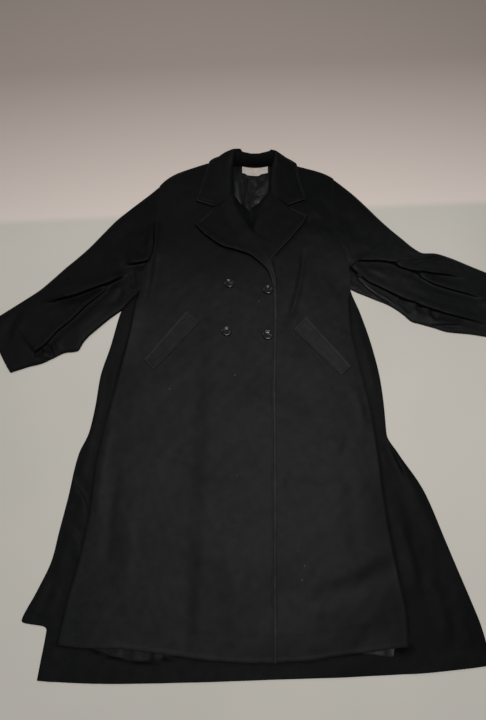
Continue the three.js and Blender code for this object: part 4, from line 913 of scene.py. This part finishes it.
def collar_lattice():
    S, R, M, E = (np.array([row[k] for row in COLLAR], float) for k in range(4))
    at = finer(E[:, :2], FINE, True, True)
    S, R, M, E = (through(v, at)[:, None, :] for v in (S, R, M, E))
    top = 0.74 * np.pi / 2             # the stand meets the fall on a slope, so that the roll is round
    angle = np.linspace(0, 1, 11)[None, :, None] * top
    over, climbed = (1 - np.cos(angle)) / (1 - math.cos(top)), np.sin(angle) / math.sin(top)
    drop = np.array([0, 0, ROLL_DROP])
    stand = S + (R - drop - S) * np.concatenate([over, over, climbed], axis=2)
    half = np.hypot(*(M - R)[:, 0, :2].T)
    rest = np.hypot(*(E - M)[:, 0, :2].T)
    width = half + rest
    cols = spread(width, FINE, False, True)[:, 1:]
    f = np.where(cols < half[:, None], cols / half[:, None], 1 + (cols - half[:, None]) / np.maximum(rest, 1e-6)[:, None])[..., None]
    plan = np.where(f < 1, R + (M - R) * f, M + (E - M) * (f - 1))
    z0, z1, z2 = R[..., 2:], M[..., 2:], E[..., 2:]
    g = f
    s1 = (z2 - z0) * 0.5
    first_half = (2 * g**3 - 3 * g**2 + 1) * z0 + (-2 * g**3 + 3 * g**2) * z1 + (g**3 - g**2) * s1
    h = f - 1
    second_half = (2 * h**3 - 3 * h**2 + 1) * z1 + (h**3 - 2 * h**2 + h) * s1 + (-2 * h**3 + 3 * h**2) * z2
    leaf = plan.copy()
    leaf[..., 2] = np.where(f < 1, first_half, second_half)[..., 0] - ROLL_DROP * np.exp(-(cols / 6.0) ** 1.3)
    X, Y = leaf[..., 0], leaf[..., 1]
    on_front = smooth((shoulder_line(X) + 4 - Y) / 10)
    floor_z = lerp(3.4 + 0 * X, np.where(X < 25, upper(X, Y), rise(X, Y)) + 0.9, on_front) + COLLAR_WALL
    over = leaf[..., 2] - floor_z
    leaf[..., 2] = floor_z + np.where(over > 4, over, 4 * np.exp(np.minimum(over - 4, 0) / 4))
    rim = (width[:, None] - cols)
    end = np.minimum(at, at[-1] - at)[:, None] * 28.0
    rim = np.minimum(rim, end + 40 * smooth((1.12 - f[..., 0]) / 0.12))
    leaf[..., 2] += -0.9 * groove(rim, 7.0, 1.5) + 0.8 * groove(rim, 2.6, 2.4)
    # painted highlight along the leaf's rim, mainly near the collar's two ends; in the return the stand is painted dark
    # and the leaf darker beside the roll: painted shade
    pale = 0.15 * np.exp(-((rim - 1.6) / 1.8) ** 2)
    sides = np.clip(np.minimum(at, at[-1] - at) / 6.0, 0, 1)[:, None]
    pale = pale * (1 - 0.7 * smooth((sides - 0.75) / 0.25))
    leaf[..., 2] += 0.7 * (waves(X * 1.6 + 40, Y * 1.6)) * smooth(cols / 20) * 0.6
    return np.concatenate([stand, leaf], axis=1), np.concatenate([0 * stand[..., 0] - 0.62, pale - 0.45 * np.exp(-(cols / 3.5) ** 2)], axis=1)

P, pale = collar_lattice()
N = normals(P)
# the wall goes to the hidden side: below the leaf, behind the stand
low = P - N * COLLAR_WALL * (1 if N[:, 30:60, 2].mean() > 0 else -1)
low[..., 2] = np.maximum(low[..., 2], 2.9)
collar = shell("wool_collar", P, COLLAR_WALL, bulge=0.45, under=low, pale=pale)
cloth(collar, WOOL, ["collar"], (0.62, 0.15), lattice_area(P))
stitches("stitches_collar", P[9:-9, -7], THREAD)

# lining: satin inside the neck, and where it shows under the front hem
ys = np.linspace(990, 786, 62)[:, None]
xs = np.linspace(-36, 92, 44)[None, :]
X, Y = xs + 0 * ys, ys + 0 * xs
Z = BACK_TOP_Z + 0.6 + SATIN + 2.4 + 1.35 * relief(LINING_CREASES, X, Y) + 0.2 * waves(X * 3, Y * 2.2)
Z = np.maximum(Z, BACK_TOP_Z + 0.5 + SATIN)
P = np.stack([X, Y, Z], -1)
# painted light and shade on the satin: crease ridges are painted paler, troughs painted darker
creased = np.clip(relief(LINING_CREASES, X, Y) / 2.6, -1, 1)
cloth(shell("lining_at_neck", P, SATIN, pale=np.sign(creased) * np.abs(creased) ** 1.2), SATIN_LOOK, ["lining_neck"], (0.13, 0.21), lattice_area(P))

xs = np.linspace(-304, 318, 190)[None, :]
v = np.linspace(0, 1, 14)[:, None]
low_y = interp(HEM, xs) - interp(HEM_SHOW, xs)
X, Y = xs + 0 * v, lerp(-196.0, low_y, v)
ruck = 2.2 * np.sin(X / 7.5 + 1.8 * np.sin(X / 31)) * np.exp(-((X + 236) / 34) ** 2) + 1.8 * np.sin(X / 6.0 + np.sin(Y / 9)) * np.exp(-((X - 287) / 22) ** 2)
Z = BACK_TOP_Z + 0.6 + SATIN + np.where(X < 0, 3.0 * (1 - v), 0.4 + 1.6 * v) + np.maximum(ruck * 0.5 + 0.6, 0) * smooth((v - 0.2) / 0.5) + 0.3 * np.maximum(waves(X * 2, Y * 2), 0)
P = np.stack([X, Y, Z], -1)
# painted light and shade on the satin: a paler patch and a pale line painted as highlights, dark lines painted as shade
# in its folds, and a dark band painted as shadow along its lower edge
painted_light_mask = 0.15 * np.exp(-((X + 240) / 26) ** 2) - 1.0 * np.exp(-((X + 182) / 8.0) ** 2) - 0.9 * np.exp(-((X + 158) / 3.5) ** 2) + 0.4 * np.exp(-((X + 168) / 3) ** 2) - 0.7 * smooth((v - 0.9) / 0.08) - 0.5 * np.exp(-((X + 292) / 16) ** 2)
cloth(shell("lining_at_hem", P, SATIN, pale=painted_light_mask), SATIN_LOOK, ["lining_hem"], (0.63, 0.06), lattice_area(P))

# the strip of lining that peeps out under the big fold of the left sleeve
def on(P, x, y):
    d = (P[..., 0] - x) ** 2 + (P[..., 1] - y) ** 2
    near = d < 3.6 ** 2
    return P[..., 2][near].max() if near.any() else P[..., 2].reshape(-1)[d.argmin()]

path = soft_path([(301, 622), (310, 610), (325, 590), (349, 568), (374, 551), (394, 534)], 9)
way = np.gradient(path, axis=0)
way /= np.linalg.norm(way, axis=1, keepdims=True)
side = np.stack([-way[:, 1], way[:, 0]], 1)
rows = []
for k, (p, s) in enumerate(zip(path, side)):
    f = k / (len(path) - 1)
    wide = 0.7 + 1.1 * math.sin(math.pi * f) * (0.6 + 0.4 * math.sin(17 * f))
    row = []
    for q in np.linspace(-1, 1, 7):
        x, y = p + s * q * wide
        row.append((x, y, on(SLEEVE_TOP_L, x, y) + 1.3 - 0.9 * q * q))
    rows.append(row)
P = np.array(rows)
for _ in range(3):
    P[1:-1, :, 2] = (P[:-2, :, 2] + 2 * P[1:-1, :, 2] + P[2:, :, 2]) / 4
cloth(shell("lining_at_sleeve", P, SATIN), BINDING, [], (0.010, 0.145), lattice_area(P))

# label: blank, with a small tab below its middle
us = np.linspace(-0.5, 0.5, 60)[None, :]
v = np.linspace(0, 1, 16)[:, None]
X = 35 + us * 74 + 0 * v
tab = 4.8 * smooth((25 - np.abs(X - 29)) / 9.0)
Y = 975.5 + 5 * (4 * us * us - 1) + lerp(11.0, -11.0 - tab, v)
Z = 8.6 + 1.1 * (1 - v) + 0.5 * np.sin(X / 9.0) * v + 0.6 * (2 * us) ** 2 + 0 * X
P = np.stack([X, Y, Z], -1)
cloth(shell("label_blank", P, 0.8), LABEL_LOOK, ["label"], (0.076, 0.028), lattice_area(P))

# pocket welts, stitched all round, their outer edge free
for name, corners in WELTS.items():
    ot, it, il, ol = (np.array(c, float) for c in corners)
    long = np.hypot(*(ol - ot))
    wide = np.hypot(*(it - ot))
    r = spread(np.array([long]), 3.4, True, True)[0]
    c = spread(np.array([wide]), 3.0, True, True)[0]
    v, u = (r / long)[:, None, None], (c / wide)[None, :, None]
    plan = lerp(lerp(ot, it, u), lerp(ol, il, u), v)
    X, Y = plan[..., 0], plan[..., 1]
    height = upper if name == "welt_right" else rise
    rim = np.minimum(np.minimum(r, long - r)[:, None], np.minimum(c, wide - c)[None, :])
    Z = height(X, Y) + 0.7 + 2.0 + 0.7 * np.exp(-c[None, :] / 7) - 0.7 * groove(rim, 6.0, 1.4) + 0.35 * groove(rim, 2.4, 2.2)
    P = np.stack([X, Y, Z], -1)
    # painted light: the whole welt is painted paler (more on welt_left), with pale rims and a paler free outer edge as
    # painted highlights
    painted_light_mask = (0.05 if name == "welt_right" else 0.17) + 0.20 * np.exp(-((rim - 1.3) / 1.5) ** 2) + 0.26 * np.exp(-(c[None, :] / 2.0) ** 2)
    cloth(shell("wool_" + name, P, 2.0, pale=painted_light_mask), WOOL, [name], (0.044, 0.190), lattice_area(P))
    k = 6
    ring = np.concatenate([P[k:-k, k], P[-k - 1, k:-k], P[k:-k, -k - 1][::-1], P[k, k:-k][::-1]])
    stitches("stitches_" + name, ring, THREAD)

# ------------------------------------------------------------------ buttons: glossy, with a raised ring, a sunk middle and four holes
def lathe(profile, segments):
    points, faces = [(0, 0, profile[0][1])], []
    rings = profile[1:-1]
    for r, z in rings:
        points += [(r * math.cos(2 * math.pi * s / segments), r * math.sin(2 * math.pi * s / segments), z) for s in range(segments)]
    points.append((0, 0, profile[-1][1]))
    P = lambda k, s: 1 + k * segments + s % segments
    last = len(points) - 1
    for s in range(segments):
        faces.append((0, P(0, s + 1), P(0, s)))
        faces.append((last, P(len(rings) - 1, s), P(len(rings) - 1, s + 1)))
        for k in range(len(rings) - 1):
            faces.append((P(k, s), P(k, s + 1), P(k + 1, s + 1), P(k + 1, s)))
    return np.array(points, float), faces

def local_mesh(name, points, faces):
    mesh = bpy.data.meshes.new(name)
    mesh.from_pydata((np.asarray(points) * 0.001).tolist(), [], faces)
    mesh.update()
    mesh.polygons.foreach_set("use_smooth", [True] * len(mesh.polygons))
    return mesh

def bent_thread(a, b, high, r=0.32, parts=9, sides=6):
    a, b = np.array(a, float), np.array(b, float)
    points, faces = [], []
    way = (b - a) / np.linalg.norm(b - a)
    across = np.cross(way, (0, 0, 1.0))
    for k in range(parts):
        f = k / (parts - 1)
        c = lerp(a, b, f) + np.array([0, 0, high * math.sin(math.pi * f)])
        slope = np.array([way[0], way[1], high * math.pi * math.cos(math.pi * f) / np.linalg.norm(b - a)])
        slope /= np.linalg.norm(slope)
        up = np.cross(across, slope)
        for s in range(sides):
            q = 2 * math.pi * s / sides
            points.append(c + r * (math.cos(q) * across + math.sin(q) * up))
    for k in range(parts - 1):
        for s in range(sides):
            s2 = (s + 1) % sides
            faces.append((k * sides + s, k * sides + s2, (k + 1) * sides + s2, (k + 1) * sides + s))
    faces.append(tuple(range(sides))[::-1])
    faces.append(tuple((parts - 1) * sides + s for s in range(sides)))
    return points, faces

PROFILE = [(0, 0), (11.4, 0), (12.5, 0.6), (13.0, 1.7), (12.9, 3.0), (12.4, 4.1), (11.5, 4.9), (10.4, 5.2), (9.4, 5.0), (8.7, 4.4), (8.2, 3.6), (7.6, 3.1), (6.4, 2.9), (4.0, 2.75), (0, 2.7)]
points, faces = lathe(PROFILE, 64)
button_mesh = local_mesh("button_shape", points, faces)
cutter_points, cutter_faces = [], []
for hx, hy in ((1.9, 1.9), (-1.9, 1.9), (1.9, -1.9), (-1.9, -1.9)):
    k = len(cutter_points)
    for z in (-1.0, 6.0):
        cutter_points += [(hx + 1.05 * math.cos(2 * math.pi * s / 20), hy + 1.05 * math.sin(2 * math.pi * s / 20), z) for s in range(20)]
    cutter_faces += [(k + s, k + (s + 1) % 20, k + 20 + (s + 1) % 20, k + 20 + s) for s in range(20)]
    cutter_faces += [tuple(k + s for s in range(20))[::-1], tuple(k + 20 + s for s in range(20))]
cutter = bpy.data.objects.new("cutter", local_mesh("cutter", cutter_points, cutter_faces))
scene.collection.objects.link(cutter)
blank = bpy.data.objects.new("blank", button_mesh)
scene.collection.objects.link(blank)
cut = blank.modifiers.new("holes", "BOOLEAN")
cut.operation, cut.object, cut.solver = "DIFFERENCE", cutter, "EXACT"
holed = bpy.data.meshes.new_from_object(blank.evaluated_get(bpy.context.evaluated_depsgraph_get()))
holed.name = "button_with_holes"
for o in (blank, cutter):
    bpy.data.objects.remove(o, do_unlink=True)
print("button faces", len(holed.polygons))

TURN = {"button_upper_right": 24, "button_upper_left": -12, "button_lower_right": 8, "button_lower_left": 38}
for name, (x, y) in BUTTONS.items():
    z = float(upper(np.array([x]), np.array([y]))[0])
    dx = (upper(np.array([x + 9.0]), np.array([y]))[0] - upper(np.array([x - 9.0]), np.array([y]))[0]) / 18
    dy = (upper(np.array([x]), np.array([y + 9.0]))[0] - upper(np.array([x]), np.array([y - 9.0]))[0]) / 18
    turn = math.radians(TURN[name])
    up = np.array([-dx, -dy, 1.0])
    up /= np.linalg.norm(up)
    ax = np.array([math.cos(turn), math.sin(turn), 0.0])
    ax -= up * ax.dot(up)
    ax /= np.linalg.norm(ax)
    ay = np.cross(up, ax)
    base = np.array([x, y, z + 0.5])
    def placed(label, mesh, mat):
        o = bpy.data.objects.new(label, mesh.copy())
        scene.collection.objects.link(o)
        v = np.empty(len(o.data.vertices) * 3)
        o.data.vertices.foreach_get("co", v)
        v = v.reshape(-1, 3) * 1000
        world = base + v[:, :1] * ax + v[:, 1:2] * ay + v[:, 2:] * up
        o.data.vertices.foreach_set("co", metres(world).reshape(-1))
        o.data.materials.clear()
        o.data.materials.append(mat)
        o.data.update()
        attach(o, "root")
        return o
    b = placed("coat_" + name, holed, BUTTON_LOOK)
    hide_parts(name)
    tp, tf = [], []
    for (p, q) in (((1.9, 1.9, 2.5), (-1.9, 1.9, 2.5)), ((1.9, -1.9, 2.5), (-1.9, -1.9, 2.5)), ((1.6, 2.1, 2.5), (-1.6, 2.1, 2.5)), ((1.6, -2.1, 2.5), (-1.6, -2.1, 2.5))):
        a, f = bent_thread(p, q, 0.75)
        k = len(tp)
        tp += a
        tf += [tuple(i + k for i in face) for face in f]
    placed("thread_" + name, local_mesh("thread", tp, tf), THREAD)

# ------------------------------------------------------------------ floor and light
def floor_material(name):
    m, t, b = new_material(name)
    where = put(t, "ShaderNodeTexCoord").outputs["Object"]
    parts = put(t, "ShaderNodeSeparateXYZ")
    t.links.new(where, parts.inputs[0])
    tilt = arithmetic(t, "SUBTRACT", parts.outputs[1], arithmetic(t, "MULTIPLY", parts.outputs[0], 0.05))
    far = remap(t, tilt, 0.452, 0.475)
    fall = remap(t, tilt, 0.47, 1.05)
    soft = spot_noise(t, where, 2.2, 2.0)
    near_tone = blend_colour(t, remap(t, soft, 0.35, 0.65), (0.474, 0.455, 0.417), (0.504, 0.483, 0.443))
    # painted shade: beyond the near tone the far surface is painted darker towards the top, standing in for the light
    # falling off
    far_tone = blend_colour(t, fall, (0.612, 0.540, 0.500), (0.345, 0.290, 0.262))
    t.links.new(blend_colour(t, far, near_tone, far_tone), b.inputs["Base Color"])
    b.inputs["Roughness"].default_value = 0.75
    b.inputs["Specular IOR Level"].default_value = 0.25
    bump(t, b, spot_noise(t, where, 300, 2.0), 0.05, 0.0005)
    return m

mesh = bpy.data.meshes.new("floor")
mesh.from_pydata([(-6, -6, 0), (6, -6, 0), (6, 6, 0), (-6, 6, 0)], [], [(0, 1, 2, 3)])
floor = bpy.data.objects.new("floor", mesh)
scene.collection.objects.link(floor)
mesh.materials.append(floor_material("floor_plain"))
floor.location.z = -0.0006

def area_light(name, where, towards, size, watts, colour=(1, 1, 1)):
    d = bpy.data.lights.new(name, "AREA")
    d.shape, d.size, d.size_y = "RECTANGLE", size[0], size[1]
    d.energy, d.color = watts, colour
    o = bpy.data.objects.new(name, d)
    scene.collection.objects.link(o)
    o.location = where
    o.rotation_euler = (Vector(towards) - Vector(where)).to_track_quat("-Z", "Y").to_euler()
    return o

area_light("light_above", (0.17, -0.10, 2.4), (0.08, -0.05, 0.0), (1.1, 1.0), 50, (1.0, 0.985, 0.96))
area_light("light_far_left", (-1.4, 1.5, 2.1), (0.0, 0.1, 0.0), (0.9, 0.9), 9, (1.0, 0.97, 0.93))
world = bpy.data.worlds.new("soft_room")
scene.world = world
world.use_nodes = True
world.node_tree.nodes["Background"].inputs["Color"].default_value = (0.82, 0.86, 0.90, 1)
world.node_tree.nodes["Background"].inputs["Strength"].default_value = 0.15
scene.view_settings.view_transform = "Standard"
scene.view_settings.look = "None"
